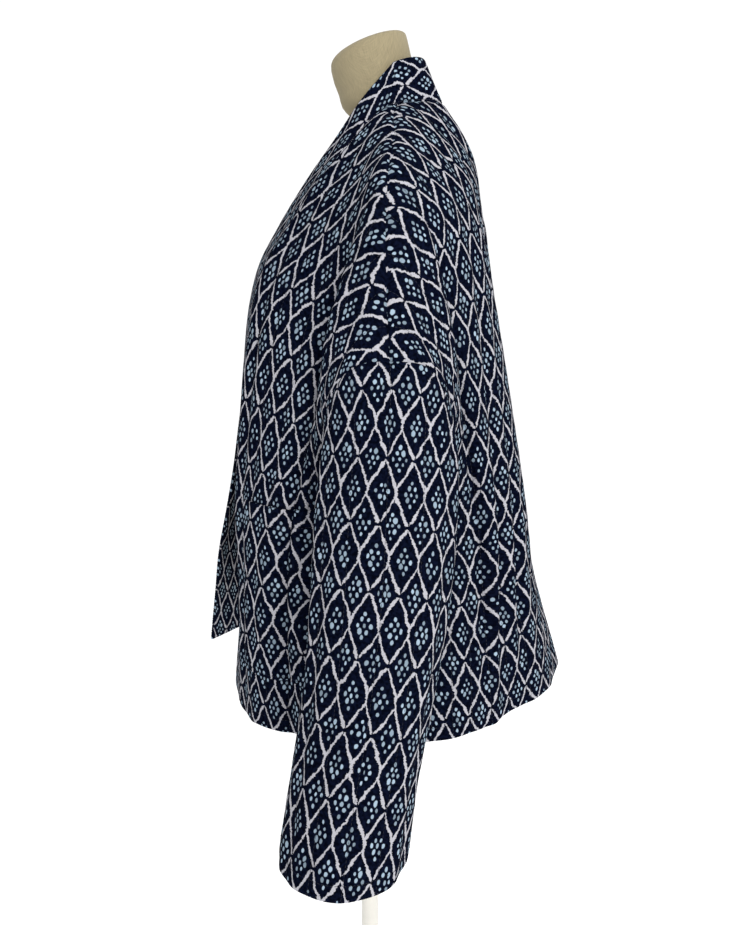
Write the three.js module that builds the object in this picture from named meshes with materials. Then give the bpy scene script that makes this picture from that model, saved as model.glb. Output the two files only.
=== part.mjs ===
// A quilted kimono jacket on a limbless dress form with a pole stand.
// Millimetres, +Z up. The wearer faces -Y and the wearer's left is +X.
// The origin is the middle of the stand's base, on the floor.

import * as THREE from 'three';

// Cloth
const WALL = 3.2; // quilted cloth at a row of stitching
const PUFF = 1.5; // how far a channel stands proud between two rows of stitching
const BAND_WALL = 4.4; // the neckband is folded double and isn't quilted
const POCKET_WALL = 3;
const SEAM_GAP = 0.3;

// Grid of the panels: two grid steps to a quilted channel
const NECK_STEPS = 4; // centre back to the side of the neck
const YOKE_STEPS = 18; // side of the neck to the armhole
const ARMHOLE_STEPS = 12; // shoulder seam to the underarm
const CHEST_STEPS = 3; // underarm to the top of the pocket
const POCKET_STEPS = 4; // top to bottom of the pocket
const HEM_STEPS = 2; // bottom of the pocket to the hem
const SLEEVE_STEPS = 13; // armhole to the cuff
const BAND_STEPS = 3; // seam to the free edge

// Heights
const HEM_Z = 648;
const POCKET_TOP_Z = 919;
const POCKET_BOTTOM_Z = 713;
const HIP_Z = 800;

// The pocket's first and last grid column, counted from the neckband's seam
const POCKET_COLUMNS = [3, 14];

// Armhole ring: an ellipse that leans, high on the outside and low under the arm
const RING = { x: 188, y: 21, z: 1027.5, halfX: 38, halfY: 68, rise: 67.5, square: 0.42 };

// Where the named threads of a panel start. s is the distance from the centre back, in the cloth.
const THREADS = {
  centre: { s: 0, top: [0, 90, 1391] },
  neck: { s: 65, top: [65, 35, 1379] },
  blade: { s: 145, top: [130, 26, 1333] },
  valley: { s: 210, top: [183, 19, 1289] },
  lobe: { s: 276, top: [207, 16, 1225] },
  arm: { s: 343, top: [219, 17, 1160] },
  side: { s: 413, top: [226, 20, 1095] },
};

// Courses of the cloth from the shoulder (v = 0) through the underarm (v = 0.5) to the hem (v = 1).
// drop is the share of the way from a thread's top to the hem, z a level course. Each entry is
// the [x, y] where the named thread crosses the course, with its own z where it leaves it.
const BACK = [
  { v: 0.16, drop: 0.08, centre: [0, 126], neck: [66, 104], blade: [130, 86], valley: [174, 66],
    lobe: [201, 60], arm: [214, 62] },
  { v: 0.33, drop: 0.18, centre: [0, 139], neck: [66, 133], blade: [128, 113], valley: [159, 84],
    lobe: [189, 88], arm: [180, 94, 1045] },
  { v: 0.5, drop: 0.305, centre: [0, 155], neck: [66, 150], blade: [120, 134], valley: [148, 103],
    lobe: [162, 101, 1015], arm: [157, 78, 942], side: [150, 21] },
  { v: 0.68, z: POCKET_TOP_Z, centre: [0, 204], neck: [64, 198], blade: [121, 171],
    valley: [153, 133], lobe: [163, 100], arm: [160, 61], side: [156, 18] },
  { v: 0.84, z: HIP_Z, centre: [0, 224], neck: [62, 216], blade: [118, 188], valley: [159, 145],
    lobe: [178, 106], arm: [184, 62], side: [182, 6] },
  { v: 1, z: HEM_Z, centre: [0, 268, 652], neck: [60, 249, 652], blade: [115, 208, 650], valley: [163, 157],
    lobe: [192, 112], arm: [208, 67], side: [217, -2] },
];
const FRONT = [
  { v: 0.16, drop: 0.08, neck: [92, -34], blade: [131, -22], valley: [173, -14],
    lobe: [200, -22], arm: [213, -24] },
  { v: 0.33, drop: 0.18, neck: [82, -92], blade: [124, -67], valley: [158, -34],
    lobe: [189, -46], arm: [180, -52, 1045] },
  { v: 0.5, drop: 0.305, neck: [76, -140], blade: [118, -108], valley: [149, -56],
    lobe: [162, -60, 1015], arm: [157, -36, 942], side: [150, 21] },
  { v: 0.68, z: POCKET_TOP_Z, neck: [79, -170], blade: [126, -143], valley: [163, -97],
    lobe: [167, -62], arm: [161, -22], side: [156, 18] },
  { v: 0.84, z: HIP_Z, neck: [98, -166], blade: [145, -146], valley: [176, -108],
    lobe: [187, -73], arm: [187, -34], side: [182, 6] },
  { v: 1, z: HEM_Z, neck: [112, -168], blade: [160, -146], valley: [187, -104],
    lobe: [204, -76], arm: [213, -40], side: [217, -2] },
];
// The right front swings further forward below the chest
const RIGHT_SWING = {
  0.68: { neck: [74, -180], blade: [124, -152], valley: [164, -101] },
  0.84: { neck: [94, -200], blade: [142, -168], valley: [178, -120] },
  1: { neck: [122, -210, 651], blade: [166, -174, 650], valley: [193, -120] },
};

// Free edge of the neckband, left and right, at the same courses as its seam
const BAND_EDGE = [
  { v: 0, left: [53, 27, 1427], right: [-53, 27, 1427] },
  { v: 0.08, left: [60, -12, 1383], right: [-60, -12, 1383] },
  { v: 0.16, left: [50, -44, 1341], right: [-50, -44, 1341] },
  { v: 0.33, left: [31, -113, 1244], right: [-31, -113, 1244] },
  { v: 0.5, left: [21, -153, 1152], right: [-20, -151, 1152] },
  { v: 0.68, left: [28, -173, POCKET_TOP_Z], right: [-19, -190, POCKET_TOP_Z] },
  { v: 0.84, left: [45, -171, HIP_Z], right: [-40, -217, HIP_Z] },
  { v: 1, left: [58, -181, 650], right: [-74, -240, 653] },
];
const BAND_NAPE = [0, 66, 1440];

// Soft troughs in the panels, each along a line from (s0, v0) to (s1, v1)
const BACK_FOLDS = [
  { s0: 120, v0: 0.1, s1: 175, v1: 0.95, width: 26, depth: 7 },
  { s0: 60, v0: 0.55, s1: 40, v1: 1, width: 34, depth: 5 },
];
const FRONT_FOLDS = [
  { s0: 150, v0: 0.45, s1: 120, v1: 0.8, width: 24, depth: 4 },
  { s0: 245, v0: 0.7, s1: 235, v1: 1, width: 22, depth: 6 },
];

// Sections of the sleeve below the armhole. rise lifts the outer side of a section.
const SLEEVE = [
  { t: 0.1, x: 202, y: 21, z: 985, halfX: 40, halfY: 74, rise: 48 },
  { t: 0.22, x: 216, y: 18, z: 935, halfX: 44, halfY: 77, rise: 30 },
  { t: 0.4, x: 243, y: 12, z: 852, halfX: 56, halfY: 76, rise: 9 },
  { t: 0.62, x: 275, y: -1, z: 752, halfX: 60, halfY: 71, rise: 0 },
  { t: 0.84, x: 300, y: -18, z: 655, halfX: 63, halfY: 68, rise: 0 },
  { t: 1, x: 320, y: -29, z: 583, halfX: 66, halfY: 69, rise: -2 },
];

// Dress form: level sections, then the shoulders under the cloth, then the leaning neck
const FORM_BOTTOM_Z = 690;
const TORSO = [
  { z: FORM_BOTTOM_Z, half: 146, front: -104, back: 108, lean: 0 },
  { z: 720, half: 156, front: -110, back: 116, lean: 0 },
  { z: 800, half: 158, front: -112, back: 122, lean: 0 },
  { z: 880, half: 140, front: -102, back: 108, lean: 0 },
  { z: 960, half: 120, front: -92, back: 90, lean: 0 },
  { z: 1020, half: 118, front: -96, back: 86, lean: 0 },
  { z: 1080, half: 130, front: -112, back: 92, lean: 0 },
  { z: 1130, half: 138, front: -118, back: 102, lean: 0 },
  { z: 1180, half: 142, front: -106, back: 108, lean: 0 },
  { z: 1230, half: 152, front: -78, back: 106, lean: 0 },
];
const SHOULDERS = [
  { x: 164, front: -16, back: 72, round: 1.7 },
  { x: 145, front: -14, back: 70, round: 1.6 },
  { x: 118, front: -14, back: 70, round: 1.5 },
  { x: 90, front: -12, back: 68, round: 1.35 },
  { x: 65, front: -20, back: 66, round: 1.3 },
];
const NECK = [
  { z: 1392, half: 48, front: -34, back: 62, lean: 6 },
  { z: 1412, half: 46, front: -38, back: 55, lean: 14 },
  { z: 1440, half: 46, front: -46, back: 47, lean: 20 },
];
const CAP = { z: 1450, y: -1.5, half: 46, lean: 19, edge: 9 };
const FORM_SEAT = 0.9; // the cloth rests this far above the shoulders
const FORM_SIDES = 32;

const POLE = { radius: 12.5, sides: 24 };
const BASE = { radius: 180, height: 20, rim: 6, sides: 48 };

const V = (p) => new THREE.Vector3(...p);
const flip = (p) => new THREE.Vector3(-p.x, p.y, p.z);
const mix = THREE.MathUtils.lerp;

// Value at x of the smooth curve through the points (xs, ys)
function smooth(xs, ys, x) {
  let k = 0;
  while (k < xs.length - 2 && x > xs[k + 1]) k++;
  const slope = (i) => {
    if (i === 0) return (ys[1] - ys[0]) / (xs[1] - xs[0]);
    const n = xs.length - 1;
    if (i === n) return (ys[n] - ys[n - 1]) / (xs[n] - xs[n - 1]);
    const a = (ys[i] - ys[i - 1]) / (xs[i] - xs[i - 1]);
    const b = (ys[i + 1] - ys[i]) / (xs[i + 1] - xs[i]);
    const wa = xs[i + 1] - xs[i];
    const wb = xs[i] - xs[i - 1];
    return (a * wa + b * wb) / (wa + wb);
  };
  const h = xs[k + 1] - xs[k];
  const t = (x - xs[k]) / h;
  const t2 = t * t;
  const t3 = t2 * t;
  return ys[k] * (2 * t3 - 3 * t2 + 1) + slope(k) * h * (t3 - 2 * t2 + t)
    + ys[k + 1] * (3 * t2 - 2 * t3) + slope(k + 1) * h * (t3 - t2);
}

const smoothPoint = (xs, points, x) =>
  new THREE.Vector3(...[0, 1, 2].map((i) => smooth(xs, points.map((p) => p.getComponent(i)), x)));

// The ring is squarer towards its outer side, where it crosses the arm nearly level
function ringPoint(angle) {
  const across = Math.sin(angle);
  const power = 1 - RING.square * Math.max(0, Math.cos(angle));
  return new THREE.Vector3(
    RING.x + RING.halfX * Math.cos(angle),
    RING.y + RING.halfY * Math.sign(across) * Math.abs(across) ** power,
    RING.z + RING.rise * Math.cos(angle),
  );
}

// How far past the neckband's seam a front's surface is carried on, as a share of the next strip
const BEYOND = 0.8;

// A panel's surface as a function of s (across the cloth) and v (down it), on the wearer's left.
// facing is 1 for the back and -1 for the front; over is the first course of the panel on the
// other side of the shoulder seam, and swing holds the rows that differ.
function panelSurface(courses, facing, over, swing = {}) {
  const names = Object.keys(THREADS);
  const across = names.map((n) => THREADS[n].s);
  const down = [-over.v, 0, ...courses.map((c) => c.v)];
  const place = (course, name) => {
    const [x, y, z] = swing[course.v]?.[name] ?? course[name];
    return new THREE.Vector3(x, y, z ?? course.z ?? mix(THREADS[name].top[2], HEM_Z, course.drop));
  };
  // A front has no centre thread: beyond the neckband's seam the cloth would run straight on
  const beyond = (course) => place(course, 'neck').multiplyScalar(1 + BEYOND)
    .addScaledVector(place(course, 'blade'), -BEYOND);
  const lines = names.map((name) => {
    const top = V(THREADS[name].top);
    const below = courses.filter((c) => name !== 'side' || c.side)
      .map((course) => (course[name] ? place(course, name) : beyond(course)));
    if (name === 'side') {
      const sideDown = courses.filter((c) => c.side).map((c) => c.v);
      return (v) => (v < 0.5 ? ringPoint(facing * v * 2 * Math.PI) : smoothPoint(sideDown, below, v));
    }
    const crosses = over[name] && courses[0][name];
    const before = crosses ? place(over, name) : top.clone().multiplyScalar(2).sub(below[0]);
    return (v) => smoothPoint(down, [before, top, ...below], v);
  });
  if (facing > 0) {
    // the back is smooth across its centre
    const neckLine = lines[names.indexOf('neck')];
    across.unshift(-THREADS.neck.s);
    lines.unshift((v) => flip(neckLine(v)));
  }
  return (s, v) => smoothPoint(across, lines.map((line) => line(v)), s);
}

function foldDepth(folds, s, v) {
  return folds.reduce((sum, f) => {
    const along = THREE.MathUtils.clamp((v - f.v0) / (f.v1 - f.v0), 0, 1);
    const off = (s - mix(f.s0, f.s1, along)) / f.width;
    return sum + f.depth * Math.sin(Math.PI * Math.min(along * 1.2, 1) * 0.5) * Math.exp(-off * off)
      * (v > f.v0 ? 1 : 0);
  }, 0);
}

// Grid positions
const steps = (from, to, n) => Array.from({ length: n }, (_, i) => mix(from, to, (i + 1) / n));
const pocketFloorV = 0.84 + 0.16 * (HIP_Z - POCKET_BOTTOM_Z) / (HIP_Z - HEM_Z);
const rowsV = [0, ...steps(0, 0.5, ARMHOLE_STEPS), ...steps(0.5, 0.68, CHEST_STEPS),
  ...steps(0.68, pocketFloorV, POCKET_STEPS), ...steps(pocketFloorV, 1, HEM_STEPS)];
const neckS = [0, ...steps(0, THREADS.neck.s, NECK_STEPS)];
const yokeS = [THREADS.neck.s, ...steps(THREADS.neck.s, THREADS.side.s, YOKE_STEPS)];
const halfBackS = [...neckS, ...yokeS.slice(1)];

// Unit normals of a grid of points: the cross product of the two grid directions
function gridNormals(grid, wrap = false) {
  const cols = grid[0].length;
  return grid.map((row, i) => row.map((_, j) => {
    const up = grid[Math.max(i - 1, 0)][j];
    const low = grid[Math.min(i + 1, grid.length - 1)][j];
    const left = wrap ? row[(j + cols - 1) % cols] : row[Math.max(j - 1, 0)];
    const right = wrap ? row[(j + 1) % cols] : row[Math.min(j + 1, cols - 1)];
    return low.clone().sub(up).cross(right.clone().sub(left)).normalize();
  }));
}

// The closed wall over a grid: lifted outer points, a plain inside, and its open edges closed.
// slant picks the diagonal of a column's cells, so that left and right are mirror images.
function wallGeometry(grid, normals, thickness, lift, { wrap = false, slant = () => false } = {}) {
  const rows = grid.length;
  const cols = grid[0].length;
  const vertices = [];
  const triangles = [];
  for (const side of [1, 0]) {
    for (let i = 0; i < rows; i++) {
      for (let j = 0; j < cols; j++) {
        const offset = side ? lift(i, j) : -thickness;
        vertices.push(...grid[i][j].clone().addScaledVector(normals[i][j], offset).toArray());
      }
    }
  }
  const at = (side, i, j) => (side ? 0 : rows * cols) + i * cols + (j % cols);
  const quad = (a, b, c, d, turned = false) =>
    (turned ? triangles.push(b, c, d, b, d, a) : triangles.push(a, b, c, a, c, d));
  const lastCol = wrap ? cols : cols - 1;
  for (let i = 0; i < rows - 1; i++) {
    for (let j = 0; j < lastCol; j++) {
      quad(at(1, i, j), at(1, i + 1, j), at(1, i + 1, j + 1), at(1, i, j + 1), slant(j));
      quad(at(0, i, j), at(0, i, j + 1), at(0, i + 1, j + 1), at(0, i + 1, j), slant(j));
    }
  }
  for (let j = 0; j < lastCol; j++) {
    quad(at(1, 0, j), at(1, 0, j + 1), at(0, 0, j + 1), at(0, 0, j));
    quad(at(1, rows - 1, j + 1), at(1, rows - 1, j), at(0, rows - 1, j), at(0, rows - 1, j + 1));
  }
  for (let i = 0; i < rows - 1 && !wrap; i++) {
    quad(at(1, i + 1, 0), at(1, i, 0), at(0, i, 0), at(0, i + 1, 0));
    quad(at(1, i, cols - 1), at(1, i + 1, cols - 1), at(0, i + 1, cols - 1), at(0, i, cols - 1));
  }
  const geometry = new THREE.BufferGeometry();
  geometry.setAttribute('position', new THREE.Float32BufferAttribute(vertices, 3));
  geometry.setIndex(triangles);
  return geometry;
}

// Draws an edge of a grid back from its seam, towards the next points inward
function drawBack(edge, inner, distance = () => SEAM_GAP) {
  edge.forEach((p, k) => {
    const step = inner[k].clone().sub(p);
    p.addScaledVector(step, distance(k) / Math.max(step.length(), 1));
  });
}

const column = (grid, j) => grid.map((row) => row.at(j));

// Both sides of a seam end on the plane between them, unless they are folded back to back
function shareNormals(a, b) {
  a.forEach((n, k) => {
    if (n.dot(b[k]) < -0.4) return;
    const shared = n.clone().add(b[k]).normalize();
    n.copy(shared);
    b[k].copy(shared);
  });
}

const material = (name, color, roughness) =>
  new THREE.MeshStandardMaterial({ name, color, roughness, metalness: 0 });
const PRINT = material('quilted_print', 0x12183a, 0.9);
const LINEN = material('form_linen', 0xb0a382, 0.95);
const IRON = material('stand_iron', 0xe2e0d8, 0.45);

const jacket = new THREE.Group();

function add(name, geometry, clothMaterial) {
  const mesh = new THREE.Mesh(geometry, clothMaterial);
  mesh.name = name;
  jacket.add(mesh);
}

// Surfaces with their folds, on the wearer's left; the right ones are mirrored
const rawBack = panelSurface(BACK, 1, FRONT[0]);
const rawFront = {
  left: panelSurface(FRONT, -1, BACK[0]),
  right: panelSurface(FRONT, -1, BACK[0], RIGHT_SWING),
};

function foldedGrid(surface, sList, folds) {
  const grid = rowsV.map((v) => sList.map((s) => surface(s, v)));
  const normals = gridNormals(grid);
  const outward = normals[10][5].y * grid[10][5].y < 0 ? -1 : 1;
  grid.forEach((row, i) => row.forEach((p, j) => {
    const edge = Math.min(1, (THREADS.side.s - sList[j]) / 60, rowsV[i] / 0.1);
    const depth = foldDepth(folds, sList[j], rowsV[i]) * edge;
    p.addScaledVector(normals[i][j], -depth * outward);
  }));
  return grid;
}

const backLeft = foldedGrid(rawBack, halfBackS, BACK_FOLDS);
// Back: right side to left side, so that rows run across the whole panel
const back = backLeft.map((row) => [...row.slice(1).reverse().map(flip), ...row].reverse());
const front = {
  left: foldedGrid(rawFront.left, yokeS, FRONT_FOLDS),
  right: foldedGrid(rawFront.right, yokeS, FRONT_FOLDS).map((row) => row.map(flip).reverse()),
};

// Neckband: the seam runs from the left hem up the front, round the neck and down to the right
const bandCourses = BAND_EDGE.map((c) => c.v);
const bandEdge = (side, v) => smoothPoint(bandCourses, BAND_EDGE.map((c) => V(c[side])), v);
const leftSeam = front.left.map((row) => row[0].clone()).reverse();
const rightSeam = front.right.map((row) => row.at(-1).clone());
const neckSeam = back[0].slice(YOKE_STEPS + 1, -YOKE_STEPS - 1).map((p) => p.clone());
const leftFree = [...rowsV].reverse().map((v) => bandEdge('left', v));
const rightFree = rowsV.map((v) => bandEdge('right', v));
const neckAngles = neckSeam.map((_, k) => (Math.PI * (k + 1)) / (neckSeam.length + 1));
const sideEdge = V(BAND_EDGE[0].left);
const neckFree = neckAngles.map((a) => new THREE.Vector3(
  sideEdge.x * Math.cos(a),
  mix(sideEdge.y, BAND_NAPE[1], Math.sin(a)),
  mix(sideEdge.z, BAND_NAPE[2], Math.sin(a)),
));
const bandSeam = [...leftSeam, ...neckSeam, ...rightSeam];
const bandFree = [...leftFree, ...neckFree, ...rightFree];
const band = Array.from({ length: BAND_STEPS + 1 }, (_, i) =>
  bandSeam.map((p, k) => p.clone().lerp(bandFree[k], 1 - i / BAND_STEPS)));

// Sleeves: the top ring is the armhole of the back and the front
function sleeveGrid(frontGrid, backGrid, side) {
  const sign = side === 'left' ? 1 : -1;
  const armhole = (grid, j) => grid.slice(0, ARMHOLE_STEPS + 1).map((row) => row.at(j).clone());
  const backEdge = armhole(backGrid, side === 'left' ? 0 : -1);
  const frontEdge = armhole(frontGrid, side === 'left' ? -1 : 0);
  const ring = [...backEdge, ...frontEdge.slice(1, -1).reverse()];
  const ts = [0, ...SLEEVE.map((c) => c.t)];
  const lines = ring.map((p, k) => {
    const angle = (2 * Math.PI * k) / ring.length;
    return [p, ...SLEEVE.map((c) => new THREE.Vector3(
      sign * (c.x + c.halfX * Math.cos(angle)),
      c.y + c.halfY * Math.sin(angle),
      c.z + c.rise * Math.cos(angle),
    ))];
  });
  const grid = Array.from({ length: SLEEVE_STEPS + 1 }, (_, i) =>
    lines.map((line) => smoothPoint(ts, line, i / SLEEVE_STEPS)));
  return side === 'left' ? grid : grid.map((row) => [row[0], ...row.slice(1).reverse()]);
}
const sleeve = {
  left: sleeveGrid(front.left, back, 'left'),
  right: sleeveGrid(front.right, back, 'right'),
};

// Normals, shared at the seams
const normals = {
  back: gridNormals(back),
  left: gridNormals(front.left),
  right: gridNormals(front.right),
  band: gridNormals(band),
  sleeveLeft: gridNormals(sleeve.left, true),
  sleeveRight: gridNormals(sleeve.right, true),
};
// shoulder seams, side seams
shareNormals(normals.back[0].slice(0, YOKE_STEPS + 1).reverse(), normals.left[0]);
shareNormals(normals.back[0].slice(-YOKE_STEPS - 1).reverse(), normals.right[0]);
shareNormals(column(normals.back, 0).slice(ARMHOLE_STEPS), column(normals.left, -1).slice(ARMHOLE_STEPS));
shareNormals(column(normals.back, -1).slice(ARMHOLE_STEPS), column(normals.right, 0).slice(ARMHOLE_STEPS));
// neckband seams
const bandSeamNormals = normals.band.at(-1);
shareNormals(column(normals.left, 0).reverse(), bandSeamNormals.slice(0, rowsV.length));
shareNormals(column(normals.right, -1), bandSeamNormals.slice(-rowsV.length));
shareNormals(normals.back[0].slice(YOKE_STEPS + 1, -YOKE_STEPS - 1),
  bandSeamNormals.slice(rowsV.length, -rowsV.length));

// the sides of the neck, where three pieces meet
for (const trio of [
  [normals.back[0][YOKE_STEPS], normals.left[0][0], bandSeamNormals[rowsV.length - 1]],
  [normals.back[0].at(-YOKE_STEPS - 1), normals.right[0].at(-1), bandSeamNormals.at(-rowsV.length)],
]) {
  const shared = trio.reduce((sum, n) => sum.add(n), new THREE.Vector3()).normalize();
  trio.forEach((n) => n.copy(shared));
}
// armholes
function shareArmhole(sleeveNormals, backEdge, frontEdge) {
  const ring = [...backEdge, ...frontEdge.slice(1, -1).reverse()];
  shareNormals(sleeveNormals, ring);
  frontEdge[0].copy(backEdge[0]);
}
const topRows = (grid, j) => column(grid, j).slice(0, ARMHOLE_STEPS + 1);
const ringOrder = (row) => [row[0], ...row.slice(1).reverse()];
shareArmhole(normals.sleeveLeft[0], topRows(normals.back, 0), topRows(normals.left, -1));
shareArmhole(ringOrder(normals.sleeveRight[0]), topRows(normals.back, -1), topRows(normals.right, 0));

// Edges drawn back from the seams
for (const grid of [back, front.left, front.right]) drawBack(grid[0], grid[1]);
for (const grid of [back, front.left, front.right]) {
  drawBack(column(grid, 0), column(grid, 1));
  drawBack(column(grid, -1), column(grid, -2));
}
drawBack(band.at(-1), band.at(-2), () => SEAM_GAP * 2.8);
// Under the arm the sleeve and the side lie back to back, so the sleeve starts a little lower
const underarmEase = (k) => SEAM_GAP * (1.6 + 2.8 * (1 - Math.cos((Math.PI * k) / ARMHOLE_STEPS)));
drawBack(sleeve.left[0], sleeve.left[1], underarmEase);
drawBack(sleeve.right[0], sleeve.right[1], underarmEase);

// Channels run down the panels and along the sleeves: odd columns are raised
const flatten = (k, n) => Math.min(1, k / 1.5, (n - 1 - k) / 1.5);
const panelLift = (grid) => (i, j) =>
  (j % 2 ? PUFF : 0) * Math.min(1, i / 1.5, 0.5 + (grid.length - 1 - i) / 2);
const sleeveLift = (i, j) => (j % 2 ? PUFF : 0) * Math.max(0, flatten(i, SLEEVE_STEPS + 1));

const turned = () => true;
const rightHalf = (j) => j >= NECK_STEPS + YOKE_STEPS;
const panel = (grid, gridN, slant) => wallGeometry(grid, gridN, WALL, panelLift(grid), { slant });
const tube = (grid, gridN) => wallGeometry(grid, gridN, WALL, sleeveLift, { wrap: true });
add('back', panel(back, normals.back, rightHalf), PRINT);
add('front_left', panel(front.left, normals.left, turned), PRINT);
add('front_right', panel(front.right, normals.right), PRINT);
add('neckband', wallGeometry(band, normals.band, BAND_WALL, () => 0), PRINT);
add('sleeve_left', tube(sleeve.left, normals.sleeveLeft), PRINT);
add('sleeve_right', tube(sleeve.right, normals.sleeveRight), PRINT);

// Pockets lie on the fronts: the front's own outer points, moved out
function pocket(grid, gridN, side) {
  const mirrored = POCKET_COLUMNS.map((c) => YOKE_STEPS - c).reverse();
  const [first, last] = side === 'left' ? POCKET_COLUMNS : mirrored;
  const top = ARMHOLE_STEPS + CHEST_STEPS;
  const lift = panelLift(grid);
  const patch = [];
  const patchN = [];
  for (let i = top; i <= top + POCKET_STEPS; i++) {
    const row = [];
    const rowN = [];
    for (let j = first; j <= last; j++) {
      row.push(grid[i][j].clone().addScaledVector(gridN[i][j], lift(i, j) + SEAM_GAP + POCKET_WALL));
      rowN.push(gridN[i][j]);
    }
    patch.push(row);
    patchN.push(rowN);
  }
  return wallGeometry(patch, patchN, POCKET_WALL, () => 0, side === 'left' ? { slant: turned } : {});
}
add('pocket_left', pocket(front.left, normals.left, 'left'), PRINT);
add('pocket_right', pocket(front.right, normals.right, 'right'), PRINT);

// Dress form: the shoulders follow the shoulder seam, a wall and the seat below it
const seamPoints = [...['centre', 'neck', 'blade', 'valley'].map((n) => V(THREADS[n].top))].slice(1);
const shoulderZ = (x) => smooth(seamPoints.map((p) => p.x), seamPoints.map((p) => p.z), x);
const shoulderRows = SHOULDERS.map((row) => {
  const slope = (shoulderZ(row.x + 1) - shoulderZ(row.x - 1)) / 2;
  const wall = row.x > THREADS.neck.top[0] ? WALL : BAND_WALL + FORM_SEAT; // the neckband is thicker
  const z = shoulderZ(row.x) - (wall + FORM_SEAT) * Math.hypot(1, slope);
  return { z, half: row.x, front: row.front, back: row.back, lean: 0, round: row.round };
});
const sections = [...TORSO, ...shoulderRows, ...NECK];

// One section: an oval with its own front and back depth, leaning about the X axis. round is 2
// for an ellipse and less towards a lozenge.
function formRing({ z, half, front: f, back: b, lean, round = 2 }) {
  const rise = Math.tan(THREE.MathUtils.degToRad(lean));
  const y = (f + b) / 2;
  const depth = (b - f) / 2;
  const bent = (value) => Math.sign(value) * Math.abs(value) ** (2 / round);
  return Array.from({ length: FORM_SIDES }, (_, k) => {
    const a = (2 * Math.PI * k) / FORM_SIDES;
    const dy = depth * bent(Math.sin(a));
    return new THREE.Vector3(half * bent(Math.cos(a)), y + dy, z + dy * rise);
  });
}

function loftGeometry(rings) {
  const sides = rings[0].length;
  const centre = (ring) => ring.reduce((sum, p) => sum.add(p), new THREE.Vector3()).divideScalar(sides);
  const vertices = rings.flat().concat(centre(rings[0]), centre(rings.at(-1))).flatMap((p) => p.toArray());
  const triangles = [];
  const at = (i, k) => i * sides + (k % sides);
  const low = rings.length * sides;
  for (let k = 0; k < sides; k++) {
    for (let i = 0; i < rings.length - 1; i++) {
      triangles.push(at(i, k), at(i, k + 1), at(i + 1, k + 1), at(i, k), at(i + 1, k + 1), at(i + 1, k));
    }
    triangles.push(low, at(0, k + 1), at(0, k));
    triangles.push(low + 1, at(rings.length - 1, k), at(rings.length - 1, k + 1));
  }
  const geometry = new THREE.BufferGeometry();
  geometry.setAttribute('position', new THREE.Float32BufferAttribute(vertices, 3));
  geometry.setIndex(triangles);
  return geometry;
}

const capRings = [0, 45, 75].map((deg) => {
  const a = THREE.MathUtils.degToRad(deg);
  const half = CAP.half - CAP.edge * (1 - Math.cos(a)) * 2;
  const z = CAP.z + CAP.edge * Math.sin(a);
  return formRing({ z, half, front: CAP.y - half, back: CAP.y + half, lean: CAP.lean });
});
add('dress_form', loftGeometry([...sections.map(formRing), ...capRings]), LINEN);

// Stand
const poleLength = FORM_BOTTOM_Z - BASE.height - 2 * SEAM_GAP;
const pole = new THREE.CylinderGeometry(POLE.radius, POLE.radius, poleLength, POLE.sides);
pole.rotateX(Math.PI / 2).translate(0, 0, BASE.height + SEAM_GAP + poleLength / 2);
add('stand_pole', pole, IRON);

const baseProfile = [
  [0, 0], [BASE.radius, 0], [BASE.radius, BASE.height - BASE.rim],
  [BASE.radius - BASE.rim, BASE.height], [0, BASE.height],
].map(([r, z]) => new THREE.Vector2(r, z));
const base = new THREE.LatheGeometry(baseProfile, BASE.sides);
base.rotateX(Math.PI / 2);
add('stand_base', base, IRON);

export default jacket;
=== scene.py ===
# A quilted kimono jacket on a limbless dress form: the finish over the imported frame.
# The wearer faces -Y and the wearer's left is +X. The tables are in millimetres, and
# every mesh is made in metres in the frame's own place.

import functools
import math

import bpy
import numpy as np
from bpy.props import FloatProperty, FloatVectorProperty, IntProperty, PointerProperty
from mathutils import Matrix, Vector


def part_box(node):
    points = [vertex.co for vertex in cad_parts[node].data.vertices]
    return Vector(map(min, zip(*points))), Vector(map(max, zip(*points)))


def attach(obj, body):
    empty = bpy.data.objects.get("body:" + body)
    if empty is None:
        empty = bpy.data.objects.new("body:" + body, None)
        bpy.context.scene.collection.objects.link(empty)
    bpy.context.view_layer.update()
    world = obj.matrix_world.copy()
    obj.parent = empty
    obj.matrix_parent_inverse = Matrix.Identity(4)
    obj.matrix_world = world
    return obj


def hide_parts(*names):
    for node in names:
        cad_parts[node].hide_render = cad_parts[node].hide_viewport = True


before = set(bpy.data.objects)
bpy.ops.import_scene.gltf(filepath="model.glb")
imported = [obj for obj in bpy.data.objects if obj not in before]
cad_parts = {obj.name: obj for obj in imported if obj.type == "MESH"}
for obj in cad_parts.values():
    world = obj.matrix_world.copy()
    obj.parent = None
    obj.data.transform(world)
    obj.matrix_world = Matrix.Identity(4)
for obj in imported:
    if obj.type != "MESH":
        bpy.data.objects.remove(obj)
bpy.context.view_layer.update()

bl_info = {
    "name": "Quilted kimono jacket",
    "version": (1, 0, 0),
    "blender": (4, 5, 0),
    "location": "View3D > Sidebar > Jacket",
    "description": "Builds a block-printed quilted jacket, its dress form and the stage",
    "category": "Object",
}

MM = 0.001


def table(names, *rows):
    """Rows of values under their names; None is left out"""
    return [{name: value for name, value in zip(names.split(), row) if value is not None} for row in rows]


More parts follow.
